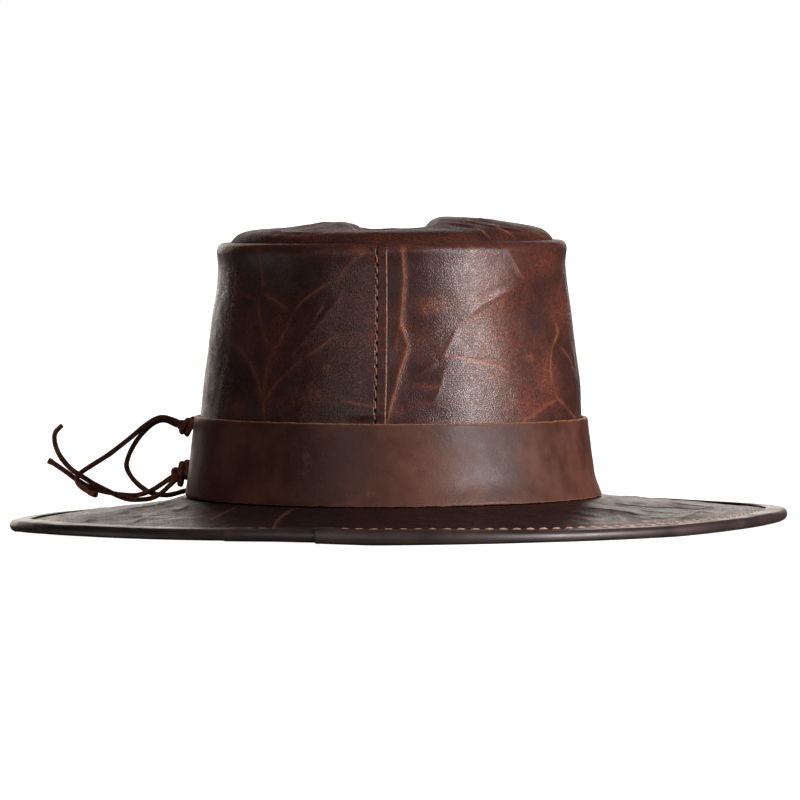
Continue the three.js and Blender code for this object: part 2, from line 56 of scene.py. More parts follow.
# Driving sizes, the same as the solids'
GAP = 0.3
WALL_THICKNESS = 2.5
WALL_FOOT = 17
RIM = dict(height=124.9, width=6.6, lip_thickness=2.5, corner_radius=3)
LAP = dict(edge=-1.5, thickness=1.1, flat_to=-6, fade_to=-18, bottom=48.2, full=52)
BRIM = dict(half_width=169.75, half_length=188.75, thickness=2.2, edge_top=3.45, rise=7.75)
COVE_RADIUS = 6
COLLAR = dict(top=28, joint=20)
COLLAR_INSET = WALL_THICKNESS + GAP
BINDING = dict(edge_cover=1.25, lap_thickness=0.7, lap_step=-11.8, lap_end=25)
UNDERLAP = dict(thickness=0.25, step=-25.5)
BAND = dict(thickness=2.3, bottom=12.6, left_lift=1.4, top=47.9, tilt=1.1, ends_at=-98.3, end_gap=5)
HOLE_INSET = 6.5
LACE_DIAMETER = 1.9
TIP = dict(thickness=2.3, skirt_foot=114, start=125.2, shoulder_rise=5.3, shoulder_length=3.6)
CREASE = dict(centre=-1, depth=20, half_width=17, swell=6, swell_at=-12, swell_reach=30)
CREASE_ENDS = dict(back=-60, back_full=-24, front_full=40, front=76)
RIDGE_ENDS = dict(back=-66, back_full=-28, front_full=46, front=80)
LEFT_RIDGE = dict(height=3.0, line=-22, reach=22, inner_foot=-11, inner_top=-25)
RIGHT_RIDGE = dict(height=4.6, line=27, reach=26, inner_foot=7, inner_top=21)
TIP_PRESS = 0.25


def table(columns, *rows):
    """Rows whose columns have names."""
    return [dict(zip(columns.split(), values)) for values in rows]


CROWN_SECTIONS = table(
    "height centre half_width half_length",
    (14.5, -2.3, 88.8, 106.5), (20, -2.9, 87.4, 104.8), (28, -3.0, 86.2, 103.4),
    (38, -3.0, 85.0, 102.2), (48, -2.9, 83.9, 101.1), (52, -2.8, 83.6, 100.8),
    (62, -2.4, 82.9, 99.9), (78, -2.1, 80.8, 97.6), (94, -1.9, 78.8, 95.3),
    (108, -1.8, 76.9, 93.2), (115, -1.8, 76.5, 92.7), (121, -1.8, 77.1, 93.3),
)

# Soft dents pressed into the wall, and slight swells, whose depth is below zero.
# Angles run from the back centre towards the right side.
WALL_DENTS = table(
    "angle height across tall depth",
    (6, 76, 11, 24, 2.1), (27, 64, 12, 14, -0.6), (28, 107, 22, 12, -2.0),
    (43, 108, 8, 16, -1.3), (-20, 110, 16, 10, -0.5), (47, 92, 14, 20, 1.5),
    (-36, 90, 15, 22, 1.6), (-62, 72, 12, 18, 1.2), (128, 84, 16, 24, 1.6),
    (172, 74, 18, 20, 1.4), (226, 88, 15, 24, 1.5),
)

# How far the brim's edge stands off the surface, by angle from the back centre, in finer steps
# than the solids'. Below zero the edge stays on the surface and is thinner by that much.
EDGE_LIFTS = table(
    "angle lift",
    (-165, 0), (-140, -0.7), (-118, -1.2), (-96, -1.2), (-86, -0.6), (-76, 0.6), (-64, 1.3),
    (-52, 1.6), (-36, 1.7), (-18, 1.85), (-11, 1.5), (-4, 0.75), (25, 0), (44, 0), (58, 0.9),
    (72, 1.5), (84, 1.6), (96, 1.1), (114, 0.2), (128, 0),
)

# Routes of the free lace ends, from their knot to their tip, as x, y, z.
LACE_ROUTES = {
    "lace_upper_long": [
        (-97.1, 14.9, 45.8), (-100.3, 14.4, 47.2), (-103.6, 14, 48.0), (-106.7, 13.5, 47.4),
        (-110.2, 13, 45.4), (-113.8, 12.4, 42.7), (-118.2, 11.6, 39.0), (-122.6, 10.8, 35.6),
        (-127.0, 9.8, 32.3), (-131.4, 8.8, 29.5), (-135.8, 7.8, 26.8), (-139.1, 7, 24.7),
        (-140.8, 6.2, 23.2), (-141.6, 4.4, 21.3), (-140.9, 1.6, 19.4), (-139.2, -1.4, 17.8),
        (-137.0, -4, 16.5), (-134.9, -6.2, 15.4), (-132.8, -8, 14.8),
    ],
    "lace_upper_loop": [
        (-97.7, 16.9, 44.4), (-100.7, 17.1, 45.8), (-103.7, 17.2, 46.5), (-106.8, 17, 45.8),
        (-109.9, 16.8, 43.8), (-112.6, 16.6, 41.2), (-115.3, 16.4, 37.9), (-117.7, 16.4, 34.0),
        (-119.5, 16.6, 29.8), (-120.1, 17, 26.5), (-119.1, 17.4, 23.4), (-116.8, 17.8, 20.0),
        (-113.7, 18, 17.1), (-110.2, 18.2, 14.8), (-106.3, 18.6, 13.6), (-102.3, 19.4, 13.3),
        (-98.6, 21.4, 13.9), (-96.2, 24.8, 14.5), (-94.6, 29.4, 14.7), (-93.8, 34, 14.6),
    ],
    "lace_lower_high": [
        (-99.7, 15.3, 21.6), (-102.9, 14.9, 19.5), (-106.1, 14.2, 17.4), (-109.2, 13.4, 15.6),
        (-112.7, 12.4, 14.3), (-116.6, 11.2, 13.7), (-121.0, 10.2, 13.9), (-125.4, 9.8, 14.6),
        (-129.8, 9.8, 15.5), (-133.3, 9.8, 16.5), (-136.9, 9.8, 17.9), (-140.4, 9.8, 19.9),
        (-143.0, 10, 21.7), (-146.5, 10.6, 24.3), (-150.1, 11.4, 26.8), (-152.7, 12.2, 28.5),
        (-154.3, 12.8, 29.3),
    ],
    "lace_lower_low": [
        (-98.4, 13.3, 20.3), (-101.2, 12.2, 17.7), (-103.8, 11.2, 15.3), (-106.5, 10.2, 13.4),
        (-109.5, 9, 12.3), (-113.5, 8, 11.9), (-117.8, 7, 12.0), (-121.8, 6, 13.0),
        (-125.7, 5, 14.8), (-129.6, 4.2, 16.9), (-134.0, 3.4, 19.2), (-138.0, 2.8, 21.8),
        (-140.8, 2.4, 23.6), (-143.6, 2, 25.6), (-145.8, 1.6, 27.8), (-147.7, 1.2, 30.2),
        (-149.1, 0.8, 32.4), (-150.1, 0.4, 34.7), (-150.8, 0, 36.9), (-151.1, -0.4, 39.2),
        (-151.0, -0.8, 41.0), (-150.4, -1.2, 42.6), (-149.1, -1.6, 44.0), (-147.6, -2, 45.4),
    ],
}


def make_camera():
    location = Vector((CAMERA_SIDE, -CAMERA_DISTANCE, CAMERA_HEIGHT)) * MM
    target = Vector((CAMERA_SIDE, 0, LOOK_HEIGHT)) * MM
    turn = (target - location).to_track_quat("-Z", "Y").to_matrix().to_4x4()
    data = bpy.data.cameras.new("camera")
    data.sensor_width = SENSOR_WIDTH
    data.lens = SENSOR_WIDTH * (CAMERA_DISTANCE / MM_PER_PIXEL) / PICTURE_SIZE
    data.clip_start = 0.1
    data.clip_end = 60
    camera = bpy.data.objects.new("camera", data)
    roll = Matrix.Rotation(-math.radians(RAISED_RIGHT), 4, "Z")
    camera.matrix_world = Matrix.Translation(location) @ turn @ roll
    bpy.context.scene.collection.objects.link(camera)
    bpy.context.scene.camera = camera


# Curves and sweeps
def smooth_curve(points, spacing):
    """A Catmull-Rom curve through points, sampled evenly."""
    points = np.asarray(points, float)
    padded = np.vstack([2 * points[0] - points[1], points, 2 * points[-1] - points[-2]])
    share = np.linspace(0, 1, 12, endpoint=False)[:, None]
    spans = []
    for before, start, end, after in zip(padded, padded[1:], padded[2:], padded[3:]):
        bend = 2 * before - 5 * start + 4 * end - after
        twist = -before + 3 * start - 3 * end + after
        spans.append(0.5 * (2 * start + (end - before) * share + bend * share**2 + twist * share**3))
    fine = np.vstack([*spans, points[-1:]])
    lengths = np.concatenate([[0], np.cumsum(np.linalg.norm(np.diff(fine, axis=0), axis=1))])
    count = max(2, int(round(lengths[-1] / spacing)) + 1)
    even = np.linspace(0, lengths[-1], count)
    return np.stack([np.interp(even, lengths, fine[:, axis]) for axis in range(3)], axis=1)


def unit(vectors):
    return vectors / np.maximum(np.linalg.norm(vectors, axis=-1, keepdims=True), 1e-9)


def sweep_frames(path, closed, first_side):
    """Two directions across the path at each point, turned as little as possible along it."""
    if closed:
        tangents = unit(np.roll(path, -1, axis=0) - np.roll(path, 1, axis=0))
    else:
        tangents = unit(np.gradient(path, axis=0))
    side = np.asarray(first_side, float)
    sides = []
    for tangent in tangents:
        side = side - tangent * np.dot(side, tangent)
        side = side / np.linalg.norm(side)
        sides.append(side)
    sides = np.array(sides)
    return sides, np.cross(tangents, sides)


def turns(count):
    """Even steps once round, in radians."""
    return np.arange(count) * 2 * math.pi / count


def thong_section(width, thickness, count=16):
    """A flat strip's section with rounded corners."""
    roundness = 2 / 2.6
    turn = turns(count)
    across = np.sign(np.cos(turn)) * np.abs(np.cos(turn)) ** roundness * width / 2
    through = np.sign(np.sin(turn)) * np.abs(np.sin(turn)) ** roundness * thickness / 2
    return across, through


def sweep(path, across, through, first_side, sizes=None, closed=False):
    """Points and faces of a strip of leather along a path, capped at both ends unless it is closed."""
    path = np.asarray(path, float)
    sides, others = sweep_frames(path, closed, first_side)
    sizes = np.ones(len(path)) if sizes is None else sizes
    grid = path[:, None, :] + sizes[:, None, None] * (
        across[None, :, None] * sides[:, None, :] + through[None, :, None] * others[:, None, :]
    )
    faces = grid_faces(len(path), len(across), closed, True)
    points = grid.reshape(-1, 3)
    if closed:
        return points, faces
    first, last = len(points), len(points) + 1
    points = np.vstack([points, path[:1], path[-1:]])
    corner = np.arange(len(across))
    after = (corner + 1) % len(across)
    end = (len(path) - 1) * len(across)
    caps = [(first, b, a) for a, b in zip(corner, after)]
    caps += [(last, end + a, end + b) for a, b in zip(corner, after)]
    return points, [*faces, *caps]


def grid_faces(columns, rows, wrap_columns, wrap_rows):
    """Quads over a grid of points that lists each column's rows in turn."""
    column = np.arange(columns if wrap_columns else columns - 1)
    line = np.arange(rows if wrap_rows else rows - 1)
    column, line = np.meshgrid(column, line, indexing="ij")
    next_column = (column + 1) % columns
    next_line = (line + 1) % rows
    corners = [
        column * rows + line,
        next_column * rows + line,
        next_column * rows + next_line,
        column * rows + next_line,
    ]
    return np.stack(corners, axis=-1).reshape(-1, 4).tolist()


def joined(parts):
    """Several meshes of points and faces as one."""
    points, faces, start = [], [], 0
    for part_points, part_faces in parts:
        points.append(part_points)
        faces += [tuple(index + start for index in face) for face in part_faces]
        start += len(part_points)
    return np.vstack(points), faces


def rough_faces(columns, rows, first, last):
    """For each face of a grid, 1 where it lies in the rows of the leather's rough side, else 0."""
    row = np.arange(rows)
    return np.tile(((row >= first) & (row < last)).astype(int), columns).tolist()


def widened(mark, rows, rest=0):
    """A mark of a grid's first rows, with one value for the rows that follow."""
    return np.pad(mark, ((0, 0), (0, rows - mark.shape[1])), constant_values=rest)


def raised(points, height):
    """Points moved up by a height each."""
    return points + np.asarray(height)[..., None] * np.array([0, 0, 1])


def make_piece(name, points, faces, materials, replaces=(), marks=None, face_materials=None):
    """A smooth-shaded piece that rides with the hat, with named marks kept for its material."""
    mesh = bpy.data.meshes.new(name)
    mesh.from_pydata((np.asarray(points) * MM).tolist(), [], faces)
    mesh.polygons.foreach_set("use_smooth", np.ones(len(mesh.polygons), bool))
    for material in materials:
        mesh.materials.append(material)
    if face_materials is not None:
        mesh.polygons.foreach_set("material_index", np.asarray(face_materials, np.int32))
    for mark, values in (marks or {}).items():
        attribute = mesh.attributes.new(mark, "FLOAT", "POINT")
        attribute.data.foreach_set("value", np.asarray(values, np.float32).ravel())
    mesh.update()
    piece = bpy.data.objects.new(name, mesh)
    bpy.context.scene.collection.objects.link(piece)
    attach(piece, "root")
    if replaces:
        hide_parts(*replaces)
    return piece


# Tables, ovals and noise
def smoothstep(low, high, value):
    share = np.clip((np.asarray(value, float) - low) / (high - low), 0, 1)
    return share * share * (3 - 2 * share)


def read_table(table, key, column, at):
    """Smooth reading of a table, carried on straight past both of its ends."""
    places = np.array([line[key] for line in table], float)
    values = np.array([line[column] for line in table], float)
    slopes = np.gradient(values, places)
    at = np.asarray(at, float)
    inside = np.clip(at, places[0], places[-1])
    index = np.clip(np.searchsorted(places, inside) - 1, 0, len(places) - 2)
    step = places[index + 1] - places[index]
    share = (inside - places[index]) / step
    start = values[index] * (2 * share**3 - 3 * share**2 + 1)
    start += slopes[index] * step * (share**3 - 2 * share**2 + share)
    end = values[index + 1] * (3 * share**2 - 2 * share**3)
    end += slopes[index + 1] * step * (share**3 - share**2)
    beyond = at - inside
    return start + end + beyond * np.where(beyond < 0, slopes[0], slopes[-1])


def wrapped(angle):
    """An angle from -180 to 180 degrees."""
    return (np.asarray(angle, float) + 180) % 360 - 180


def apart(angle, other):
    """The unsigned angle between two directions."""
    return np.abs(wrapped(np.asarray(angle) - other))


def oval_point(oval, angle, height, offset=0):
    """A point on an oval seen from above, moved out by offset. Angles run from the back centre to +X."""
    centre, half_width, half_length = oval
    turn = np.radians(angle)
    normal_x = np.sin(turn) / half_width
    normal_y = -np.cos(turn) / half_length
    size = np.hypot(normal_x, normal_y)
    x = centre + half_width * np.sin(turn) + offset * normal_x / size
    y = -half_length * np.cos(turn) + offset * normal_y / size
    return np.stack(np.broadcast_arrays(x, y, np.asarray(height, float)), axis=-1)


def crown_oval(height):
    columns = ("centre", "half_width", "half_length")
    return tuple(read_table(CROWN_SECTIONS, "height", column, height) for column in columns)


def on_wall(angle, height, offset=0):
    """A point on the crown's outer face, or moved out from it by offset."""
    return oval_point(crown_oval(height), angle, height, offset)


def ripples(points, wavelength, seed, waves=14):
    """Smooth noise from about -1 to 1, made of waves that run in all directions."""
    random = np.random.RandomState(seed)
    directions = unit(random.normal(size=(waves, 3)))
    lengths = wavelength * random.uniform(0.6, 1.7, waves)
    phases = random.uniform(0, 2 * math.pi, waves)
    total = np.zeros(points.shape[:-1])
    for direction, length, phase in zip(directions, lengths, phases):
        total += np.sin(points @ direction * (2 * math.pi / length) + phase)
    return total / math.sqrt(waves / 2) / 2


# Creases: lines along which the leather was folded, so that its wax has lightened.
def to_line(points, line):
    """Each point's distance to a line of points, and how far along the line it is."""
    best = np.full(len(points), 1e9)
    along = np.zeros(len(points))
    done = 0.0
    for start, end in zip(line, line[1:]):
        step = end - start
        length = float(np.linalg.norm(step))
        share = np.clip((points - start) @ step / length**2, 0, 1)
        distance = np.linalg.norm(points - start - share[:, None] * step, axis=1)
        closer = distance < best
        best[closer] = distance[closer]
        along[closer] = done + share[closer] * length
        done += length
    return best, along, done


def crease_marks(grid, creases):
    """How light each point is, how near a crease's middle it is, and how far it stands out."""
    points = grid.reshape(-1, 3)
    tint, core, relief = np.zeros((3, len(points)))
    for number, crease in enumerate(creases):
        line = crease["line"]
        reach = 3 * max(crease["width"], crease["spread"], crease["reach"] if crease["fold"] else 0)
        near = np.all((points > line.min(0) - reach) & (points < line.max(0) + reach), axis=1)
        if not near.any():
            continue
        distance, along, length = to_line(points[near], line)
        fade = min(0.3 * length, 6)
        taper = smoothstep(-0.3 * fade, fade, np.minimum(along, length - along))
        broken = np.clip(0.95 + 0.35 * ripples(points[near], 9, 300 + number), 0.3, 1.2)
        halo = np.exp(-((distance / (2.6 * crease["width"])) ** 2))
        tint[near] = np.maximum(tint[near], crease["tint"] * halo * taper * broken)
        middle = np.exp(-((distance / (1.5 * crease["width"])) ** 2))
        core[near] = np.maximum(core[near], crease["clear"] * middle)
        ridge = crease["lift"] * np.exp(-((distance / crease["spread"]) ** 2))
        share = distance / crease["reach"]
        flanks = np.exp(-np.hypot(share, 0.35 / crease["reach"])) * smoothstep(3, 1.5, share)
        relief[near] += (ridge + crease["fold"] * flanks) * taper
    return np.stack([tint, core, relief]).reshape(3, *grid.shape[:-1])


# Each kind's colour line, small ridge, and fold: a ridge (or trough) with straight flanks.
CREASE_KINDS = {
    "vein": dict(width=0.55, tint=0.5, clear=0.95, spread=1.0, lift=0.12, fold=0, reach=1),
    "soft": dict(width=1.0, tint=0.36, clear=0.75, spread=1.4, lift=0.08, fold=0, reach=1),
    "faint": dict(width=0.7, tint=0.24, clear=0.7, spread=1.1, lift=0.05, fold=0, reach=1),
    "strong": dict(width=0.5, tint=0.8, clear=1.0, spread=1.2, lift=0.2, fold=0.12, reach=4),
    "fold": dict(width=0.5, tint=0.15, clear=0.8, spread=0.6, lift=0.08, fold=0.5, reach=4.5),
    "sharp": dict(width=0.45, tint=0.2, clear=0.9, spread=0.6, lift=0.1, fold=0.4, reach=2.8),
    "trough": dict(width=1.0, tint=0.0, clear=0, spread=1.6, lift=-0.15, fold=-0.2, reach=4),
}

# Creases that show on the wall, as points of the picture, in pixels.
WALL_CREASES_SEEN = [
    ("soft", [(259, 246), (260, 262), (262, 280), (261, 289), (259, 294)]),
    ("soft", [(261, 290), (266, 296), (272, 299), (278, 303), (284, 309), (289, 313)]),
    ("faint", [(224, 286), (232, 289), (240, 292), (248, 296), (255, 299)]),
    ("soft", [(259, 294), (256, 302), (257, 312), (259, 322), (261, 332), (264, 342), (266, 349)]),
    ("vein", [(290, 314), (295, 308), (302, 301), (310, 295), (318, 290), (324, 286), (332, 282)]),
    ("soft", [(332, 282), (340, 277), (344, 270), (350, 265), (356, 259), (362, 255), (370, 251)]),
    ("soft", [(290, 314), (287, 321), (284, 329), (280, 337), (276, 345), (271, 353), (267, 362)]),
    ("soft", [(268, 358), (265, 372), (264, 384), (264, 398)]),
    ("soft", [
        (222, 327), (226, 335), (231, 344), (238, 350), (244, 356), (249, 363), (253, 372),
        (257, 382), (260, 392), (263, 402), (264, 412), (264, 422),
    ]),
    ("soft", [(264, 402), (270, 392), (276, 384), (282, 377), (288, 371), (294, 365), (302, 359)]),
    ("vein", [(302, 359), (311, 353), (320, 347), (328, 341), (334, 336)]),
    ("fold", [
        (284, 362), (290, 356), (296, 349), (302, 342), (308, 335), (314, 329), (320, 322),
        (326, 314), (332, 307), (337, 301), (341, 295), (344, 289),
    ]),
    ("trough", [(300, 336), (306, 330), (313, 322), (319, 314), (326, 305), (332, 297)]),
    ("fold", [(304, 334), (309, 327), (314, 318), (320, 309), (324, 303)]),
    ("vein", [(341, 400), (350, 402), (358, 404), (366, 405), (376, 408)]),
    ("trough", [(336, 395), (346, 397), (358, 398), (376, 398)]),
    ("faint", [(232, 406), (231, 414), (230, 422)]),
    ("faint", [(304, 385), (312, 390), (319, 396)]),
    ("faint", [(292, 395), (293, 408)]),
    ("strong", [
        (401, 244), (403, 256), (404, 268), (404, 282), (403, 296), (402, 310), (401, 322),
        (403, 330), (406, 338), (408, 346), (406, 356), (403, 364), (400, 372), (398, 381),
        (396, 390), (393, 399), (391, 407), (389, 415), (387, 424),
    ]),
    ("faint", [(401, 322), (398, 332), (396, 344), (396, 353)]),
    ("faint", [(478, 245), (472, 252), (469, 260)]),
    ("sharp", [(504, 246), (507, 252), (510, 260), (514, 268), (518, 275), (524, 281)]),
    ("vein", [(509, 257), (513, 266), (517, 274), (524, 281)]),
    ("sharp", [
        (510, 287), (500, 293), (490, 299), (482, 304), (473, 311), (466, 318), (460, 325),
        (456, 332), (452, 340), (448, 348), (444, 355), (440, 361),
    ]),
    ("trough", [(512, 281), (502, 286), (492, 291), (484, 296), (476, 300)]),
    ("faint", [(476, 295), (468, 300), (463, 305), (457, 309)]),
    ("fold", [(440, 361), (436, 363), (430, 367), (424, 372), (417, 377), (411, 380)]),
    ("fold", [(447, 363), (444, 372), (442, 381), (440, 388), (437, 396), (433, 402), (428, 408)]),
    ("vein", [
        (444, 361), (450, 358), (457, 357), (464, 359), (470, 360), (478, 361), (486, 363),
        (494, 365), (500, 367), (506, 371), (512, 376),
    ]),
    ("soft", [(457, 357), (468, 360), (482, 362)]),
    ("faint", [(462, 342), (464, 350), (466, 358)]),
    ("faint", [(502, 295), (502, 305), (500, 314)]),
    ("fold", [(568, 297), (563, 309), (561, 320), (558, 331), (553, 343), (548, 356), (545, 370)]),
    ("vein", [(553, 317), (557, 328), (557, 336), (553, 347), (551, 361), (551, 374), (554, 387)]),
    ("vein", [(554, 387), (558, 398), (563, 404), (568, 410), (573, 416), (577, 421)]),
    ("soft", [(558, 400), (552, 403), (545, 406), (538, 412), (531, 417), (525, 420), (519, 424)]),
    ("faint", [(547, 364), (545, 375), (543, 384), (541, 392)]),
    ("vein", [(560, 347), (565, 352), (570, 360), (573, 368), (576, 378)]),
    ("faint", [(566, 258), (563, 270), (560, 284), (558, 296)]),
    ("faint", [(418, 386), (430, 387), (441, 388)]),
    ("faint", [(420, 403), (432, 404), (442, 406)]),
]

# Creases that show on the brim's near half.
BRIM_CREASES_SEEN = [
    ("vein", [(237, 508), (224, 514), (211, 521)]),
    ("vein", [(297, 508), (288, 513), (278, 519), (273, 528)]),
    ("soft", [(214, 509), (196, 515), (176, 521)]),
    ("fold", [(178, 510), (150, 518), (124, 527)]),
    ("trough", [(164, 508), (140, 516), (112, 522)]),
    ("sharp", [(190, 506), (182, 510), (170, 514)]),
    ("fold", [(132, 512), (106, 518), (84, 523)]),
    ("vein", [(582, 517), (590, 521), (599, 526)]),
    ("vein", [(611, 511), (620, 518), (630, 526)]),
    ("sharp", [(608, 503), (632, 506), (656, 508), (684, 509), (708, 511)]),
    ("sharp", [(708, 511), (695, 515), (680, 519)]),
    ("trough", [(640, 511), (660, 513), (684, 514)]),
    ("fold", [(664, 504), (690, 506), (720, 509)]),
    ("fold", [(560, 505), (590, 510), (640, 516)]),
]

# Creases that show on the top panel's near half.
TIP_CREASES_SEEN = [
    ("strong", [(474, 227), (482, 232), (491, 239)]),
    ("strong", [(491, 224), (502, 230), (515, 237)]),
    ("soft", [(525, 228), (535, 232), (545, 237)]),
    ("faint", [(291, 232), (292, 238), (292, 242)]),
    ("soft", [(364, 233), (366, 238), (367, 242)]),
    ("trough", [(262, 232), (280, 234), (300, 234.5), (320, 233), (340, 230), (362, 228)]),
    ("trough", [(280, 229), (300, 230), (322, 228.5), (345, 225.5)]),
    ("trough", [(448, 221), (468, 223), (490, 227), (512, 231), (534, 235)]),
    ("trough", [(446, 224), (462, 226), (480, 230), (500, 234)]),
    ("trough", [(470, 220.5), (492, 223), (514, 227), (536, 231)]),
    ("sharp", [(444, 222.5), (464, 224.5), (486, 228), (508, 232), (528, 235)]),
    ("sharp", [(460, 221), (482, 224), (506, 228), (528, 232)]),
    ("sharp", [(270, 231), (290, 232), (312, 231.5), (334, 228), (352, 226)]),
    ("sharp", [(440, 226), (452, 228), (466, 231)]),
]

# Patches where the wax has worn warm, as places and sizes in the picture, in pixels.
WALL_WEAR_SEEN = table(
    "x y wide tall amount",
    (438, 305, 34, 14, 0.7), (470, 316, 26, 14, 0.55), (531, 357, 9, 9, 0.8),
    (505, 345, 34, 26, 0.6), (548, 380, 22, 40, 0.6), (520, 405, 44, 16, 0.7),
    (398, 412, 14, 10, 0.5), (405, 330, 8, 80, 0.35), (456, 398, 24, 20, 0.35),
    (562, 310, 14, 40, 0.5), (470, 250, 40, 8, 0.45), (545, 262, 26, 22, 0.5),
    (350, 340, 26, 18, 0.5), (316, 398, 22, 12, 0.45), (272, 350, 20, 70, 0.35),
    (236, 408, 18, 16, 0.35), (375, 262, 14, 26, 0.35), (345, 330, 50, 120, 0.25),
    (486, 330, 56, 170, 0.68), (515, 400, 50, 40, 0.5), (330, 252, 90, 7, 0.5),
    (480, 268, 50, 24, 0.3), (326, 368, 9, 8, 0.7), (425, 310, 8, 8, 0.9),
    (372, 330, 14, 60, 0.4), (360, 300, 30, 30, 0.3), (300, 330, 20, 30, 0.25),
    (430, 386, 26, 6, 0.5), (486, 352, 30, 10, 0.4),
)


def picture_rays(points):
    """Pixels of the picture as sideways and downward slopes from the camera."""
    centre = PICTURE_SIZE / 2
    roll = math.radians(RAISED_RIGHT)
    right = points[:, 0] - centre
    down = points[:, 1] - centre
    focal = CAMERA_DISTANCE / MM_PER_PIXEL
    across = (right * math.cos(roll) - down * math.sin(roll)) / focal
    below = (down * math.cos(roll) + right * math.sin(roll)) / focal
    return across, (CAMERA_HEIGHT - LOOK_HEIGHT) / CAMERA_DISTANCE + below


def wall_place(points):
    """Pixels of the picture as angle and height on the crown's wall."""
    across, below = picture_rays(np.asarray(points, float))
    y = np.full(len(points), -95.0)
    for _ in range(6):
        depth = CAMERA_DISTANCE + y
        height = CAMERA_HEIGHT - below * depth
        centre, half_width, half_length = crown_oval(height)
        sine = np.clip((CAMERA_SIDE + across * depth - centre) / half_width, -0.999, 0.999)
        y = -half_length * np.sqrt(1 - sine**2)
    return np.degrees(np.arcsin(sine)), height


def seen_at(pixels, places):
    """The surface's places that the camera sees nearest to pixels of the picture."""
    across, below = picture_rays(np.asarray(pixels, float))
    depth = CAMERA_DISTANCE + places[:, 1]
    seen_across = (places[:, 0] - CAMERA_SIDE) / depth
    seen_below = (CAMERA_HEIGHT - places[:, 2]) / depth
    return places[[np.argmin(np.hypot(seen_across - a, seen_below - b)) for a, b in zip(across, below)]]


# How close together a crease's points are, and how a made-up crease wanders
CREASE_SPACING = 2.5
WANDER_STEP = 5
WANDER_SWING = 0.13


def wander(random, start, heading, length):
    """A line that wanders over a flat chart from a start, in millimetres."""
    points = [np.array(start, float)]
    for _ in range(int(length / WANDER_STEP)):
        heading += random.normal(0, WANDER_SWING)
        points.append(points[-1] + WANDER_STEP * np.array([math.cos(heading), math.sin(heading)]))
    return points


def crease_tree(random, start, heading, length):
    """A crease over a flat chart and the branches that leave it, each with its kind."""
    trunk = wander(random, start, heading, length)
    lines = [(random.choice(["vein", "soft", "soft", "soft", "fold"]), trunk)]
    for _ in range(random.randint(1, 5)):
        fork = trunk[random.randint(len(trunk) // 5, len(trunk))]
        turn = heading + random.choice([-1, 1]) * random.uniform(0.3, 0.8)
        branch = wander(random, fork, turn, length * random.uniform(0.3, 0.7))
        lines.append((random.choice(["vein", "soft", "faint", "faint", "sharp"]), branch))
    return lines


def seen_creases(creases, places):
    """Creases of the picture, laid on a surface by a function from pixels to places."""
    found = []
    for kind, pixels in creases:
        found.append(dict(CREASE_KINDS[kind], line=smooth_curve(places(pixels), CREASE_SPACING)))
    return found


def unseen_creases(random, start, heading, length, colour, inside, places):
    """A tree of creases that the picture doesn't show, with a share of their kind's colour.
    Its lines run over a flat chart and keep to where inside says that the surface is."""
    found = []
    for name, points in crease_tree(random, start, heading, length):
        chart = np.array([point for point in points if inside(*point)])
        if len(chart) > 2:
            kind = CREASE_KINDS[name]
            line = smooth_curve(places(*chart.T), CREASE_SPACING)
            found.append(dict(kind, tint=colour * kind["tint"], line=line))
    return found


# The part of the wall that the picture doesn't show, as angles, and the heights where it creases
UNSEEN_WALL = dict(first=94, last=266, low=44, high=121)


def wall_creases():
    """The creases seen in the picture at the back, and others like them round the rest of the wall."""
    creases = seen_creases(WALL_CREASES_SEEN, lambda pixels: on_wall(*wall_place(pixels)))
    random = np.random.RandomState(11)
    mm_per_degree = 1.6

    def inside(along, up):
        at_front = UNSEEN_WALL["first"] < along / mm_per_degree < UNSEEN_WALL["last"]
        return at_front and UNSEEN_WALL["low"] < up < UNSEEN_WALL["high"]

    def places(along, up):
        return on_wall(along / mm_per_degree, up)

    for _ in range(17):
        angle = random.uniform(UNSEEN_WALL["first"] + 2, UNSEEN_WALL["last"] - 2)
        start = (angle * mm_per_degree, random.uniform(52, 118))
        heading = random.choice([1, -1]) * random.uniform(0.6, 1.5)
        length = random.uniform(30, 70)
        creases += unseen_creases(random, start, heading, length, 0.75, inside, places)
    return creases


def patch_share(angle, height, at, level, wide, tall):
    """A soft round patch on the wall, 1 at its middle."""
    return np.exp(-((apart(angle, at) / wide) ** 2 + ((height - level) / tall) ** 2))


def wall_wear(angle, height):
    """How warm the wall is: patches seen in the picture at the back, and random ones round the rest."""
    wear = np.zeros(angle.shape)
    for patch in WALL_WEAR_SEEN:
        across = np.array([[patch["x"], patch["y"]], [patch["x"] + patch["wide"] / 2, patch["y"]]])
        places, levels = wall_place(across)
        wide = abs(places[1] - places[0]) * 1.3
        tall = patch["tall"] * MM_PER_PIXEL * 0.7
        share = patch_share(angle, height, places[0], levels[0], wide, tall)
        wear = np.maximum(wear, patch["amount"] * share)
    random = np.random.RandomState(71)
    for _ in range(30):
        at, level = random.uniform(98, 262), random.uniform(50, 122)
        wide, tall = random.uniform(4, 12), random.uniform(4, 16)
        share = patch_share(angle, height, at, level, wide, tall)
        wear = np.maximum(wear, random.uniform(0.35, 0.9) * share)
    return wear


# Crown wall
def dent_depth(angle, height):
    """How far the wall's soft dents press it in."""
    depth = 0
    for dent in WALL_DENTS:
        across = apart(angle, dent["angle"]) / dent["across"]
        lift = (height - dent["height"]) / dent["tall"]
        depth = depth + dent["depth"] * np.exp(-(across**2) - lift**2)
    return depth


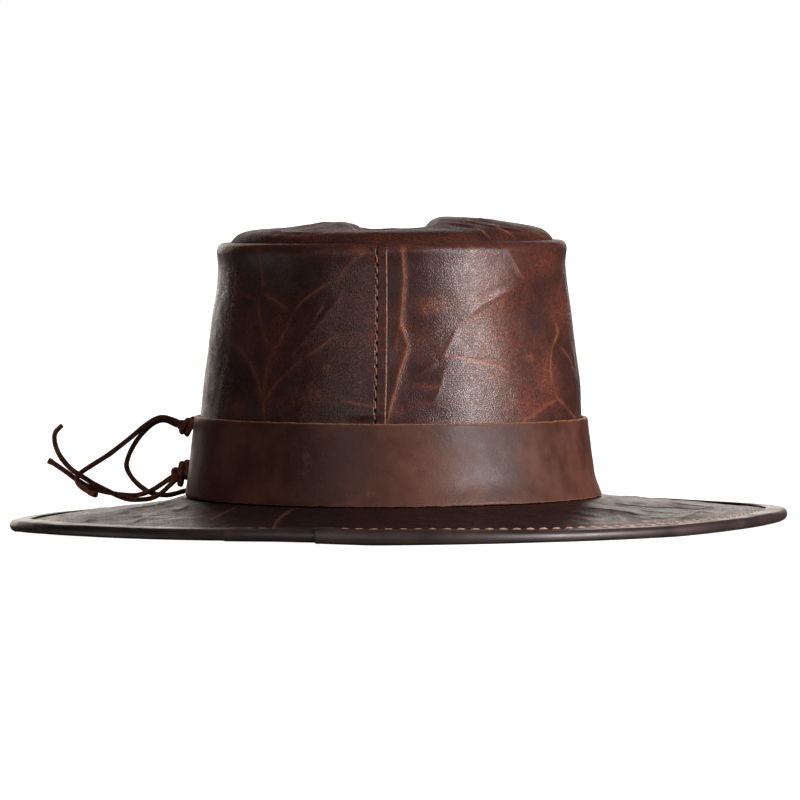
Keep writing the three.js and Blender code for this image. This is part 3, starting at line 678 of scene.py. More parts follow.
def lap_rise(angle, height):
    """The upper panel's thickness where it lies over the other one, left of its raw edge."""
    on_top = (angle <= LAP["edge"]) & (angle > LAP["fade_to"])
    across = 1 - smoothstep(0, LAP["flat_to"] - LAP["fade_to"], LAP["flat_to"] - angle)
    up = smoothstep(LAP["bottom"], LAP["full"], height)
    edge_round = np.clip((LAP["edge"] - angle) / 0.16, 0, 1)
    corner = np.sqrt(np.clip(1 - (1 - edge_round) ** 2, 0, 1))
    return np.where(on_top, LAP["thickness"] * across * up * (0.55 + 0.45 * corner), 0)


SEAM = dict(pitch=4.8, length=3.4, line=-4.7, lean=0.08, first=49.4, last=121, mm_per_degree=1.45)


def seam_marks(angle, height):
    """The groove that the seam's thread lies in, and painted shade: darker along the groove and dark in
    the holes between its stitches.
    """
    across = (angle - SEAM["line"]) * SEAM["mm_per_degree"]
    along = (height - SEAM["first"]) % SEAM["pitch"]
    hole_at = (SEAM["length"] + SEAM["pitch"]) / 2
    inside = (height > SEAM["first"] - 1.5) & (height < SEAM["last"] + 3.5)
    groove = np.exp(-((across / 0.5) ** 2)) * inside
    hole = np.exp(-((across / 0.45) ** 2) - ((along - hole_at) / 0.62) ** 2) * inside
    return 0.3 * groove + 0.7 * hole, np.clip(0.55 * groove + 1.3 * hole, 0, 1)


def ring_angles(back_step, front_step, extra):
    """Angles once round, close together over the back half, with extra ones at a step."""
    back = np.arange(-95, 95, back_step)
    front = np.arange(95, 265, front_step)
    return np.unique(np.round(np.concatenate([back, front, extra]), 4))


RIM_TURNS = np.radians([12, 24, 36, 48, 60, 72, 84, 90])
INSIDE_HEIGHTS = [115, 108, 94, 78, 62, 48, 38, 28, 20, WALL_FOOT]

# The rim's flat top and the lip that it ends in, as inset and drop
LIP_SECTION = [
    (4.2, -0.1),
    (5.4, 0),
    (6.2, 0.25),
    (RIM["width"], 0.7),
    (RIM["width"], RIM["lip_thickness"]),
    (WALL_THICKNESS + 1, RIM["lip_thickness"]),
]


def wall_relief(angle, height):
    """The wall's crease marks, and how far its folds and ripples stand out below the rim."""
    nominal = on_wall(angle, height)
    tint, core, relief = crease_marks(nominal, wall_creases())
    relief = relief + 0.22 * ripples(nominal, 34, 5) + 0.07 * ripples(nominal, 11, 6)
    steady = smoothstep(123, 117, height)
    return tint, core, relief * (0.25 + 0.75 * steady)


def rim_and_inside(angles, top_offset):
    """Rows of points over the rounded rim, along its lip and down the wall's inner face."""
    shoulder = CROWN_SECTIONS[-1]["height"]
    rim_oval = crown_oval(shoulder)
    rows = []
    for turn in RIM_TURNS:
        inset = RIM["corner_radius"] * (1 - math.cos(turn))
        up = shoulder + (RIM["height"] - shoulder) * math.sin(turn)
        rows.append(oval_point(rim_oval, angles, up, top_offset * (1 - math.sin(turn)) - inset))
    for inset, drop in LIP_SECTION:
        rows.append(oval_point(rim_oval, angles, RIM["height"] - drop, -inset))
    for level in INSIDE_HEIGHTS:
        rows.append(on_wall(angles, level, -WALL_THICKNESS - dent_depth(angles, level)))
    return np.stack(rows, axis=1)


def make_crown_wall(materials):
    """The wall, its rim and its inner face, as one closed surface."""
    edge = LAP["edge"]
    at_edge = edge + np.array([-0.6, -0.45, -0.3, -0.16, -0.1, -0.05, -0.02, 0, 0.012, 0.15, 0.35])
    at_seam = SEAM["line"] + np.arange(-0.6, 0.61, 0.12)
    angles = ring_angles(0.42, 0.6, np.concatenate([at_edge, at_seam]))
    behind_band = [WALL_FOOT, 24, 32, 40, 44]
    heights = np.concatenate([behind_band, np.arange(46.5, 121.1, 0.72)])
    angle, height = np.meshgrid(angles, heights, indexing="ij")
    tint, core, relief = wall_relief(angle, height)
    groove, shade = seam_marks(angle, height)
    offset = relief - dent_depth(angle, height) + lap_rise(angle, height) - groove
    outside = on_wall(angle, height, offset)
    grid = np.concatenate([outside, rim_and_inside(angles, offset[:, -1])], axis=1)
    columns, rows = grid.shape[:2]
    shoulder_row = len(heights)
    lip_row = shoulder_row + len(RIM_TURNS) + len(LIP_SECTION) - 1
    raw_edge = np.zeros((columns, rows))
    raw_edge[(angles > edge - 0.31) & (angles <= edge + 0.005), len(behind_band) : shoulder_row] = 1
    # Painted shadow: a dark line just right of the upper panel's raw edge.
    beside = np.exp(-(((angle - edge - 0.3) / 0.35) ** 2)) * (angle > edge + 0.005) * (height > 49)
    # The dark mark is painted shade throughout: the seam's groove and holes, the shadow beside the raw
    # edge and the rim towards its inner edge.
    dark = widened(np.maximum(shade, 0.8 * beside), rows)
    # Painted shade over the rim, darker towards its inner edge where the top panel meets it.
    lip_shade = np.linspace(0.25, 0.8, 8)
    dark[:, lip_row - len(lip_shade) : lip_row] = lip_shade
    wear = widened(wall_wear(angle, height), rows)
    wear[:, shoulder_row:lip_row] = 0.25
    tint = np.concatenate([tint, tint[:, -1:] * (1 - np.sin(RIM_TURNS))], axis=1)
    marks = dict(
        crease=widened(tint, rows),
        crease_core=widened(core, rows, 1),
        raw_edge=raw_edge,
        wear=wear,
        dark=dark,
    )
    make_piece(
        "crown_wall", grid.reshape(-1, 3), grid_faces(columns, rows, True, True), materials,
        ["crown_side"], marks,
        rough_faces(columns, rows, rows - len(INSIDE_HEIGHTS) - 2, rows),
    )


# Crown top
def ridge_rise(x, y):
    """The two ridges beside the crown's crease."""
    height = 0
    for ridge, side in ((LEFT_RIDGE, -1), (RIGHT_RIDGE, 1)):
        past = np.maximum(0, side * (x - ridge["line"])) / ridge["reach"]
        inner = smoothstep(ridge["inner_foot"] * side, ridge["inner_top"] * side, x * side)
        height = height + ridge["height"] * np.exp(-(past**2)) * inner
    from_back = smoothstep(RIDGE_ENDS["back"], RIDGE_ENDS["back_full"], y)
    return height * from_back * (1 - smoothstep(RIDGE_ENDS["front_full"], RIDGE_ENDS["front"], y))


def crease_depth(x, y):
    """The crease along the crown's middle."""
    swell = CREASE["swell"] * np.exp(-(((y - CREASE["swell_at"]) / CREASE["swell_reach"]) ** 2))
    share = np.minimum(1, np.abs(x - CREASE["centre"]) / (CREASE["half_width"] + swell))
    from_back = smoothstep(CREASE_ENDS["back"], CREASE_ENDS["back_full"], y)
    from_front = 1 - smoothstep(CREASE_ENDS["front_full"], CREASE_ENDS["front"], y)
    return CREASE["depth"] * (1 - share**2) ** 2 * from_back * from_front


def tip_oval():
    """The top panel's edge, pressed a little into the rim that holds it."""
    inset = RIM["width"] - TIP_PRESS
    centre, half_width, half_length = crown_oval(CROWN_SECTIONS[-1]["height"])
    return centre, half_width - inset, half_length - inset


def tip_height(x, y):
    centre, half_width, half_length = tip_oval()
    share = np.hypot((x - centre) / half_width, y / half_length)
    from_edge = np.maximum(0, 1 - share) * half_width
    shoulder = TIP["shoulder_rise"] * (1 - np.exp(-from_edge / TIP["shoulder_length"]))
    return TIP["start"] + shoulder + ridge_rise(x, y) - crease_depth(x, y)


def on_tip(x, y):
    return np.stack([x, y, tip_height(x, y)], axis=-1)


def tip_creases():
    """The creases seen at the back, and others over the rest of the top panel."""
    random = np.random.RandomState(23)
    half_width, half_length = tip_oval()[1:]
    x, y = np.meshgrid(np.arange(-70, 70, 0.5), np.arange(-86, -24, 0.5), indexing="ij")
    on_panel = np.hypot(x / half_width, y / half_length) < 0.99
    back = on_tip(x[on_panel], y[on_panel])
    creases = seen_creases(TIP_CREASES_SEEN, lambda pixels: seen_at(pixels, back))

    def inside(x, y):
        return math.hypot(x / half_width, y / half_length) < 0.97

    for _ in range(22):
        start = (random.uniform(-60, 60), random.uniform(-78, 78))
        heading = math.atan2(start[1], start[0]) + random.uniform(-0.9, 0.9)
        length = random.uniform(18, 46)
        creases += unseen_creases(random, start, heading, length, 0.45, inside, on_tip)
    return creases


def make_crown_top(materials):
    """The top panel, closed by a point at the middle of its upper and its under face."""
    centre, half_width, half_length = tip_oval()
    angles = np.arange(0, 360, 0.75)
    shares = np.concatenate([np.arange(0.02, 0.9, 0.0105), np.arange(0.9, 0.9995, 0.0045), [0.9995]])
    angle, share = np.meshgrid(angles, shares, indexing="ij")
    flat = oval_point((centre, half_width * share, half_length * share), angle, 0)
    nominal = on_tip(flat[..., 0], flat[..., 1])
    tint, core, relief = crease_marks(nominal, tip_creases())
    relief = 0.9 * relief + 0.25 * ripples(nominal, 26, 8) + 0.07 * ripples(nominal, 9, 9)
    relief = relief * smoothstep(1.0, 0.93, share)
    wear = 0.6 * smoothstep(0.86, 0.96, share) * np.clip(0.8 + 0.5 * ripples(nominal, 14, 10), 0, 1)
    wear = np.maximum(wear, smoothstep(0.35, 0.9, ripples(nominal, 32, 31)) * 0.7)

    depth = 1.35 * TIP["thickness"]
    under_rows = []
    for level in (121, 117, TIP["skirt_foot"]):
        under_rows.append(oval_point((centre, half_width, half_length), angles, level))
    inner = (centre, half_width - TIP["thickness"], half_length - TIP["thickness"])
    under_rows.append(oval_point(inner, angles, TIP["skirt_foot"]))
    for under_share in (0.968, 0.93, 0.88, 0.8, 0.7, 0.6, 0.5, 0.4, 0.3, 0.2, 0.1, 0.02):
        place = oval_point((centre, half_width * under_share, half_length * under_share), angles, 0)
        under_rows.append(raised(on_tip(place[:, 0], place[:, 1]), -depth))
    grid = np.concatenate([raised(nominal, relief), np.stack(under_rows, axis=1)], axis=1)
    columns, rows = grid.shape[:2]
    faces = grid_faces(columns, rows, True, False)
    face_materials = rough_faces(columns, rows - 1, len(shares) + 2, rows)
    middle = on_tip(centre, 0)
    points = np.vstack([
        grid.reshape(-1, 3), raised(middle, relief[:, 0].mean()), raised(middle, -depth),
    ])
    above, below = len(points) - 2, len(points) - 1
    for column in range(columns):
        after = (column + 1) % columns
        faces.append((above, after * rows, column * rows))
        faces.append((below, column * rows + rows - 1, after * rows + rows - 1))
        face_materials += [0, 1]
    marks = dict(crease=tint, crease_core=core, wear=wear)
    marks = {mark: np.append(widened(values, rows), [0, 0]) for mark, values in marks.items()}
    make_piece(
        "crown_top", points, faces, materials, ["crown_tip"], marks, face_materials
    )


# Brim
def edge_lift(angle):
    places = [line["angle"] for line in EDGE_LIFTS]
    lifts = [line["lift"] for line in EDGE_LIFTS]
    return np.interp(wrapped(angle), places, lifts, 0, 0)


def brim_start():
    centre, half_width, half_length = crown_oval(BRIM["edge_top"] + BRIM["rise"])
    inset = COLLAR_INSET - COVE_RADIUS
    return centre, half_width - inset, half_length - inset


BRIM_REACH = BRIM["half_width"] - brim_start()[1]


def brim_oval(share):
    """The brim's oval: 0 where the cove starts, 1 at the leather's edge."""
    centre, half_width, half_length = brim_start()
    return (
        centre * (1 - share),
        half_width + (BRIM["half_width"] - half_width) * share,
        half_length + (BRIM["half_length"] - half_length) * share,
    )


def brim_top(share, angle):
    """The height of the brim's upper face."""
    return BRIM["edge_top"] + BRIM["rise"] * (1 - share) + edge_lift(angle) * share**2


def on_brim(share, angle):
    return oval_point(brim_oval(share), angle, brim_top(share, angle))


def foot_rise(angle, from_foot):
    """How far the brim turns up where it meets the band, most at the hat's left side."""
    left = np.maximum(0, -np.sin(np.radians(angle)))
    return (0.9 + 1.3 * left**2) * np.exp(-((from_foot / 6.5) ** 2))


def cove_point(angle, turn, radius):
    """A point on the quarter round between the brim and the collar inside the crown."""
    height = BRIM["edge_top"] + BRIM["rise"] + COVE_RADIUS - radius * np.cos(turn)
    height = height + foot_rise(angle, 0) * (1 - np.sin(turn))
    inset = COLLAR_INSET - COVE_RADIUS + radius * np.sin(turn)
    return on_wall(angle, height, -inset)


def brim_creases():
    """The creases seen on the brim, and others that mostly run out towards its edge."""
    angle, share = np.meshgrid(np.arange(-89, 89, 0.5), np.arange(0.02, 0.98, 0.01), indexing="ij")
    near_half = on_brim(share, angle).reshape(-1, 3)
    creases = seen_creases(BRIM_CREASES_SEEN, lambda pixels: seen_at(pixels, near_half))
    deeper = 2.1
    for crease in creases:
        crease.update(lift=deeper * crease["lift"], fold=deeper * crease["fold"])
    random = np.random.RandomState(37)
    mm_per_degree, reach, count = 2.4, 82, 34

    def inside(_, out):
        return 3 < out < 0.9 * reach

    def places(along, out):
        return on_brim(out / reach, along / mm_per_degree)

    for number in range(count):
        angle = number * 360 / count + random.uniform(-4, 4)
        if apart(angle, 0) < 40:
            continue
        start = (angle * mm_per_degree, random.uniform(0.05, 0.6) * reach)
        heading = math.pi / 2 + random.uniform(-1.2, 1.2)
        length = random.uniform(24, 60)
        creases += unseen_creases(random, start, heading, length, 0.4, inside, places)
    return creases


def make_brim(materials):
    """The brim, the cove at its foot and the collar inside the crown, as one closed surface."""
    angles = ring_angles(0.36, 0.55, [])
    shares = np.concatenate([[1.0, 0.985, 0.965], np.arange(0.95, 0.0, -0.0135), [0.0]])
    angle, share = np.meshgrid(angles, shares, indexing="ij")
    nominal = on_brim(share, angle)
    tint, core, relief = crease_marks(nominal, brim_creases())
    wear = smoothstep(0.35, 1.0, ripples(nominal, 40, 32)) * 0.5
    fanned_out = oval_point(brim_oval(1), angle, 0.2 * BRIM_REACH * share)
    relief = 0.8 * relief + 0.34 * ripples(nominal, 46, 12) + 0.2 * ripples(fanned_out, 20, 13)
    relief = relief + 0.06 * ripples(fanned_out, 8, 14)
    relief = relief * smoothstep(0.98, 0.87, share) * smoothstep(-0.02, 0.12, share)
    top = raised(nominal, relief + foot_rise(angle, share * BRIM_REACH))

    quarter = np.linspace(0, math.pi / 2, 9)[1:]
    inner_inset = COLLAR_INSET + BRIM["thickness"]
    foot, head = COLLAR["joint"], COLLAR["top"]
    rings = [cove_point(angles, turn, COVE_RADIUS) for turn in quarter]
    rings += [on_wall(angles, level, -COLLAR_INSET) for level in (foot, head)]
    rings += [on_wall(angles, level, -inner_inset) for level in (head, foot)]
    rings += [cove_point(angles, turn, COVE_RADIUS + BRIM["thickness"]) for turn in quarter[::-1]]
    under_shares = np.append(np.linspace(0, 0.95, 20), [0.98, 1.0])
    angle, share = np.meshgrid(angles, under_shares, indexing="ij")
    under = raised(on_brim(share, angle), foot_rise(angle, share * BRIM_REACH) - BRIM["thickness"])
    grid = np.concatenate([top, np.stack(rings, axis=1), under], axis=1)
    columns, rows = grid.shape[:2]
    marks = dict(crease=tint, crease_core=core, wear=wear)
    make_piece(
        "brim_leather", grid.reshape(-1, 3), grid_faces(columns, rows, True, True), materials,
        ["brim"], {mark: widened(values, rows) for mark, values in marks.items()},
        rough_faces(columns, rows, len(shares) + len(quarter) + 2, rows - 1),
    )


# Binding, whose section runs round the brim's edge from below. Lap is the share of the tape's lap
# that each point moves by, and below zero it moves down.
BINDING_OUTSIDE = table(
    "inset height lap",
    (9.0, 0.7, 0), (8.9, 0.55, 0), (3.6, 0, -1), (2.2, 0, -1), (1.4, 0, -1), (0.8, 0.3, -1),
    (0.35, 0.9, -0.5), (0.08, 1.6, 0), (0, 2.35, 0), (0.08, 3.1, 0), (0.35, 3.8, 0.5),
    (0.8, 4.35, 1), (1.4, 4.7, 1), (2.2, 4.88, 1), (4.5, 5.05, 1), (7.0, 5.25, 1), (8.5, 5.4, 1),
    (8.9, 5.3, 1), (9.0, 5.05, 1),
)
BINDING_INSIDE = table(
    "inset height", (9.0, 4.5), (1.3, 3.72), (0.98, 3.2), (0.98, 1.5), (1.3, 0.98), (9.0, 1.72)
)

TAPE_TOP = BINDING_OUTSIDE[-2]["height"]


def tape_lap(angle):
    """How much thicker the tape is where its ends lap."""
    angle = wrapped(angle)
    over = BINDING["lap_thickness"] * (1 - smoothstep(0, BINDING["lap_end"], angle))
    lap = np.where(angle < BINDING["lap_step"], UNDERLAP["thickness"], over)
    return np.where((angle < UNDERLAP["step"]) | (angle > BINDING["lap_end"]), 0, lap)


def binding_points(angle, inset, height):
    """Points beside the brim's edge, as inset from the tape's outside and height over its foot."""
    share = 1 + (BINDING["edge_cover"] - inset) / BRIM_REACH
    lift = edge_lift(angle)
    thinned = height * (1 + np.minimum(0, lift) / TAPE_TOP)
    return oval_point(brim_oval(share), angle, thinned + np.maximum(0, lift) * np.minimum(1, share) ** 2)


def make_binding(materials):
    """The folded tape round the brim's edge, thicker where its ends lap."""
    beside_step = np.array([-0.3, -0.06, -0.02, 0.02, 0.06, 0.3])
    extra = np.concatenate([BINDING["lap_step"] + beside_step, UNDERLAP["step"] + beside_step])
    angles = ring_angles(0.4, 0.55, extra)
    lap = tape_lap(angles)
    under = np.minimum(lap, np.maximum(0, edge_lift(angles)))
    sag = 0.14 * ripples(oval_point(brim_oval(1), angles, 0), 30, 15)
    nose_height, upper_face = 2.35, 4.6
    rows = []
    for line in BINDING_OUTSIDE:
        nose = 1 - min(1, abs(line["height"] - nose_height) / nose_height)
        inset = line["inset"] - lap * (line["inset"] < BINDING["edge_cover"]) - 0.3 * nose * sag
        shift = line["lap"] * np.where(line["lap"] < 0, under, lap)
        wobble = sag * (line["height"] > upper_face)
        rows.append(binding_points(angles, inset, line["height"] + shift + wobble))
    for line in BINDING_INSIDE:
        rows.append(binding_points(angles, line["inset"], line["height"]))
    grid = np.stack(rows, axis=1)
    columns, count = grid.shape[:2]
    raw_edge = np.zeros((columns, count))
    raw_edge[:, len(BINDING_OUTSIDE) - 2 : len(BINDING_OUTSIDE) + 1] = 0.5
    make_piece(
        "binding_tape", grid.reshape(-1, 3), grid_faces(columns, count, True, True), materials,
        ["brim_binding"], dict(raw_edge=raw_edge),
    )


# Band
def band_edges(angle):
    left = np.maximum(0, -np.sin(np.radians(angle)))
    bottom = BAND["bottom"] + BAND["left_lift"] * left**2
    top = BAND["top"] - BAND["tilt"] * np.sin(np.radians(angle))
    return bottom, top


def band_angle(from_ends):
    """The angle at a distance from the middle of the gap between the band's ends."""
    half_length = crown_oval(BAND["bottom"])[2] + GAP
    return BAND["ends_at"] + np.degrees(from_ends / half_length)


def make_band(materials):
    """The strip round the crown, with its two ends a little apart at the hat's left side."""
    half_gap = BAND["end_gap"] / 2
    angles = np.linspace(float(band_angle(half_gap)), float(band_angle(-half_gap)) + 360, 760)
    bottom, top = band_edges(angles)
    at_bottom, at_top = on_wall(angles, bottom), on_wall(angles, top)
    bottom = bottom + 0.16 * ripples(at_bottom, 7, 16) + 0.1 * ripples(at_bottom, 2.4, 17)
    top = top + 0.14 * ripples(at_top, 8, 18) + 0.09 * ripples(at_top, 2.4, 19)

    def height_at(share):
        return bottom[:, None] + (top - bottom)[:, None] * share

    near_bottom, near_top = [0, 0.006, 0.016, 0.03], [0.97, 0.984, 0.994, 1]
    middle = np.linspace(0.06, 0.94, 34)
    shares = np.concatenate([near_bottom, middle, near_top])
    corner = [0.55, 0.2, 0.06, 0]
    rounding = np.concatenate([corner, 0 * middle, corner[::-1]])
    angle, share = np.meshgrid(angles, shares, indexing="ij")
    height = height_at(share)
    face = on_wall(angle, height)
    wave = 0.12 * ripples(face, 30, 20) + 0.03 * ripples(face, 6, 21)
    wave = wave * smoothstep(0, 0.1, share) * smoothstep(1, 0.9, share)
    outside = on_wall(angle, height, GAP + BAND["thickness"] + wave - rounding)
    angle, share = np.meshgrid(angles, [1, 0.8, 0.6, 0.4, 0.2, 0], indexing="ij")
    inside = on_wall(angle, height_at(share), GAP)
    grid = np.concatenate([outside, inside], axis=1)
    columns, rows = grid.shape[:2]
    first_inside = len(shares)
    raw_edge = np.zeros((columns, rows))
    raw_edge[:, [0, first_inside - 1, first_inside, rows - 1]] = 1
    raw_edge[:, [1, first_inside - 2]] = 0.8
    raw_edge[[0, -1], :] = 1
    faces = grid_faces(columns, rows, False, True)
    face_materials = rough_faces(columns - 1, rows, first_inside, rows - 1)
    facing = np.linspace(rows - 1, first_inside, first_inside).round().astype(int)
    for column in (0, columns - 1):
        for line in range(first_inside - 1):
            corners = [line, line + 1, int(facing[line + 1]), int(facing[line])]
            corners = [column * rows + corner for corner in dict.fromkeys(corners)]
            faces.append(corners if column else corners[::-1])
            face_materials.append(0)
    make_piece(
        "band", grid.reshape(-1, 3), faces, materials, ["hat_band"],
        dict(raw_edge=raw_edge), face_materials,
    )


# Laces and knots
LACE_STEP = 0.6
LACE_SIDE = (0.15, 0.25, 1)


def make_lace(name, material, tip_size, tip_reach):
    """A free lace end, swept along its route and wider or narrower towards its cut tip."""
    path = smooth_curve(LACE_ROUTES[name], LACE_STEP)
    across, through = thong_section(LACE_DIAMETER * 1.16, LACE_DIAMETER * 1.02)
    from_tip = (1 - np.linspace(0, 1, len(path))) * len(path) * LACE_STEP
    sizes = 1 + (tip_size - 1) * smoothstep(tip_reach, 0, from_tip)
    sizes = sizes * (1 + 0.05 * ripples(path, 7, 40))
    points, faces = sweep(path, across, through, LACE_SIDE, sizes)
    cut = np.tile(np.abs(np.cos(turns(len(across)))) ** 3, len(path))
    cut[-len(across) :] = 1
    marks = dict(raw_edge=np.append(cut, [1, 1]))
    piece = make_piece(name + "_thong", points, faces, [material], [name], marks)


WRAP_COLUMNS = "centre radius lean turn"
KNOT_WRAPS = {
    "knot_upper": table(
        WRAP_COLUMNS,
        ((-91.8, 15.7, 43.8), (2.9, 3.8), 24, 6),
        ((-94.0, 15.6, 44.0), (2.7, 3.1), 30, -8),
        ((-95.5, 15.4, 44.3), (1.2, 1.4), 12, 55),
    ),
    "knot_lower": table(
        WRAP_COLUMNS,
        ((-93.4, 15.5, 24.6), (3.1, 3.6), 3, 6),
        ((-95.9, 15.3, 22.8), (3.3, 4.8), 5, -6),
        ((-98.1, 15.0, 23.4), (1.4, 1.5), -10, 55),
    ),
}
KNOT_CORES = {
    "knot_upper": dict(centre=(-93.8, 15.6, 44.0), size=(2.6, 2.1, 2.2)),
    "knot_lower": dict(centre=(-96.0, 15.3, 23.2), size=(2.8, 2.3, 2.7)),
}


def turned(points, axis, degrees):
    matrix = np.array(Matrix.Rotation(math.radians(degrees), 3, axis))
    return points @ matrix.T


def wrap_path(wrap):
    half_width, half_height = wrap["radius"]
    turn = turns(40)
    circle = np.column_stack([0 * turn, half_width * np.sin(turn), half_height * np.cos(turn)])
    circle = turned(turned(circle, "Z", wrap["turn"]), "Y", wrap["lean"])
    return circle + np.array(wrap["centre"])


def ball(centre, size):
    columns, rows = 24, 16
    lift = np.linspace(-1, 1, rows) * (math.pi / 2 - 0.05)
    turn, lift = np.meshgrid(turns(columns), lift, indexing="ij")
    grid = np.stack([np.cos(turn) * np.cos(lift), np.sin(turn) * np.cos(lift), np.sin(lift)], axis=-1)
    points = grid.reshape(-1, 3) * np.array(size) + np.array(centre)
    bottom = [column * rows for column in range(columns)]
    top = [foot + rows - 1 for foot in bottom]
    return points, [*grid_faces(columns, rows, True, False), bottom[::-1], top]


def make_knot(name, material):
    """A knot: a core, the turns round it, a leg to each band hole, and the stubs of its laces."""
    across, through = thong_section(LACE_DIAMETER * 1.35, LACE_DIAMETER * 1.05, 14)
    core = KNOT_CORES[name]
    parts = [ball(core["centre"], core["size"])]
    for wrap in KNOT_WRAPS[name]:
        parts.append(sweep(wrap_path(wrap), across, through, (1, 0, 0.05), closed=True))
    height = core["centre"][2]
    knot = np.array(core["centre"]) + np.array([1.5, 0, 0])
    for side in (-1, 1):
        angle = band_angle(side * HOLE_INSET)
        seat = on_wall(angle, height, GAP + BAND["thickness"] * 0.4)
        above = on_wall(angle, height, GAP + BAND["thickness"] + 1.3)
        leg = smooth_curve([seat, above, above + (knot - above) * 0.4, knot], 0.5)
        parts.append(sweep(leg, across, through, (0, 0, 1)))
    for lace, route in LACE_ROUTES.items():
        if lace.split("_")[1] == name.split("_")[1]:
            stub = smooth_curve([core["centre"], *route[:2]], 0.5)
            parts.append(sweep(stub, across * 0.9, through * 0.9, LACE_SIDE))
    points, faces = joined(parts)
    marks = dict(raw_edge=np.clip(0.5 + 0.5 * ripples(points, 3, 44), 0, 1) * 0.5)
    make_piece(name + "_thong", points, faces, [material], [name], marks)


# Stitches
def stitch_mesh(start, end, up, radius, arch):
    """One stitch of thread that dips into the leather at both ends."""
    share = np.linspace(0, 1, 11)[:, None]
    full = np.sin(math.pi * share) ** 0.7
    rise = arch * np.sin(math.pi * share) - 0.9 * radius * (1 - full)
    path = start * (1 - share) + end * share + up * rise
    side = np.cross(end - start, up)
    round_section = turns(8)
    across, through = radius * np.cos(round_section), radius * np.sin(round_section)
    return sweep(path, across, through, side, 0.4 + 0.6 * full[:, 0])


def make_seam_stitches(material):
    """The row of stitches beside the wall's raw edge."""
    line = SEAM["line"]
    parts = []
    for low in np.arange(SEAM["first"], SEAM["last"], SEAM["pitch"]):
        ends = np.array([low, low + SEAM["length"]])
        angle = line + np.array([SEAM["lean"], -SEAM["lean"]])
        points = on_wall(angle, ends, lap_rise(angle, ends) - dent_depth(angle, ends))
        out = on_wall(line, low, 1) - on_wall(line, low)
        parts.append(stitch_mesh(points[0], points[1], out, 0.36, 0.02))
    points, faces = joined(parts)
    make_piece("seam_stitches", points, faces, [material])


def make_brim_stitches(material):
    """The row of stitches along the binding tape's inner edge, above and below the brim."""
    pitch, length, inset = 6.05, 4.5, 8.0
    above, below = 5.34, 0.62
    angles = np.arange(0, 360, 0.1)
    steps = np.linalg.norm(np.diff(binding_points(angles, inset, 0), axis=0), axis=1)
    along = np.concatenate([[0], np.cumsum(steps)])
    count = int(round(along[-1] / pitch))
    parts = []
    for side, surface in ((1, above), (-1, below)):
        for start in np.arange(count) * along[-1] / count:
            ends = np.interp([start, start + length], along, angles)
            lap = tape_lap(ends) if side > 0 else 0
            points = binding_points(ends, inset, surface + lap)
            on_right = smoothstep(-25, 40, 90 - apart(ends[0], 90))
            loose = float(on_right * (1 - smoothstep(58, 88, apart(ends[0], 0))))
            up = np.array([0, 0, float(side)])
            parts.append(stitch_mesh(points[0], points[1], up, 0.3 + 0.15 * loose, -0.3 + 0.6 * loose))
    points, faces = joined(parts)
    make_piece("brim_stitches", points, faces, [material])


# Materials
class Nodes:
    """A node tree, with short ways to add the kinds that this file needs."""

    def __init__(self, tree):
        self.tree = tree

    def node(self, kind, **settings):
        node = self.tree.nodes.new(kind)
        for setting, value in settings.items():
            setattr(node, setting, value)
        return node

    def give(self, value, socket):
        if isinstance(value, bpy.types.NodeSocket):
            self.tree.links.new(value, socket)
        else:
            socket.default_value = value

    def between(self, value, low, high, to_low=0.0, to_high=1.0):
        """A value's place between two levels, as a smooth step."""
        node = self.node("ShaderNodeMapRange", interpolation_type="SMOOTHSTEP")
        levels = dict(zip(("From Min", "From Max", "To Min", "To Max"), (low, high, to_low, to_high)))
        for socket, level in levels.items():
            node.inputs[socket].default_value = level
        self.give(value, node.inputs["Value"])
        return node.outputs["Result"]

    def calc(self, operation, first, second):
        node = self.node("ShaderNodeMath", operation=operation)
        self.give(first, node.inputs[0])
        self.give(second, node.inputs[1])
        return node.outputs[0]

    def times(self, first, second):
        return self.calc("MULTIPLY", first, second)

    def plus(self, first, second):
        return self.calc("ADD", first, second)

    def blend(self, share, first, second):
        """A colour between two others."""
        node = self.node("ShaderNodeMix", data_type="RGBA")
        self.give(share, node.inputs["Factor"])
        for value, socket in ((first, node.inputs[6]), (second, node.inputs[7])):
            self.give(value if isinstance(value, bpy.types.NodeSocket) else (*value, 1), socket)
        return node.outputs[2]


class Shader(Nodes):
    """A material's nodes."""

    def __init__(self, name, **sockets):
        self.material = bpy.data.materials.new(name)
        self.material.use_nodes = True
        super().__init__(self.material.node_tree)
        self.surface = self.tree.nodes["Principled BSDF"]
        for socket, value in sockets.items():
            self.surface.inputs[socket.replace("_", " ")].default_value = value
        scaled = self.node("ShaderNodeVectorMath", operation="SCALE")
        scaled.inputs["Scale"].default_value = 1 / MM
        self.give(self.node("ShaderNodeTexCoord").outputs["Object"], scaled.inputs[0])
        self.place_in_mm = scaled.outputs[0]

    def mark(self, name):
        return self.node("ShaderNodeAttribute", attribute_name=name).outputs["Fac"]

    def noise(self, size, detail=2, roughness=0.5):
        """Noise whose features are about size millimetres across."""
        node = self.node("ShaderNodeTexNoise")
        node.inputs["Scale"].default_value = 1 / size
        node.inputs["Detail"].default_value = detail
        node.inputs["Roughness"].default_value = roughness
        self.give(self.place_in_mm, node.inputs["Vector"])
        return node.outputs["Fac"]

    def pebbles(self, size):
        node = self.node("ShaderNodeTexVoronoi", feature="SMOOTH_F1")
        node.inputs["Scale"].default_value = 1 / size
        node.inputs["Smoothness"].default_value = 0.6
        self.give(self.place_in_mm, node.inputs["Vector"])
        return node.outputs["Distance"]

    def bump(self, height, depth, below=None):
        """Relief of depth millimetres over whatever relief lies below it."""
        node = self.node("ShaderNodeBump")
        node.inputs["Strength"].default_value = 1
        node.inputs["Distance"].default_value = depth * MM
        self.give(height, node.inputs["Height"])
        if below is not None:
            self.give(below, node.inputs["Normal"])
        return node.outputs["Normal"]

    def finish(self, colour, roughness, normal):
        self.give(colour, self.surface.inputs["Base Color"])
        self.give(roughness, self.surface.inputs["Roughness"])
        self.give(normal, self.surface.inputs["Normal"])
        return self.material


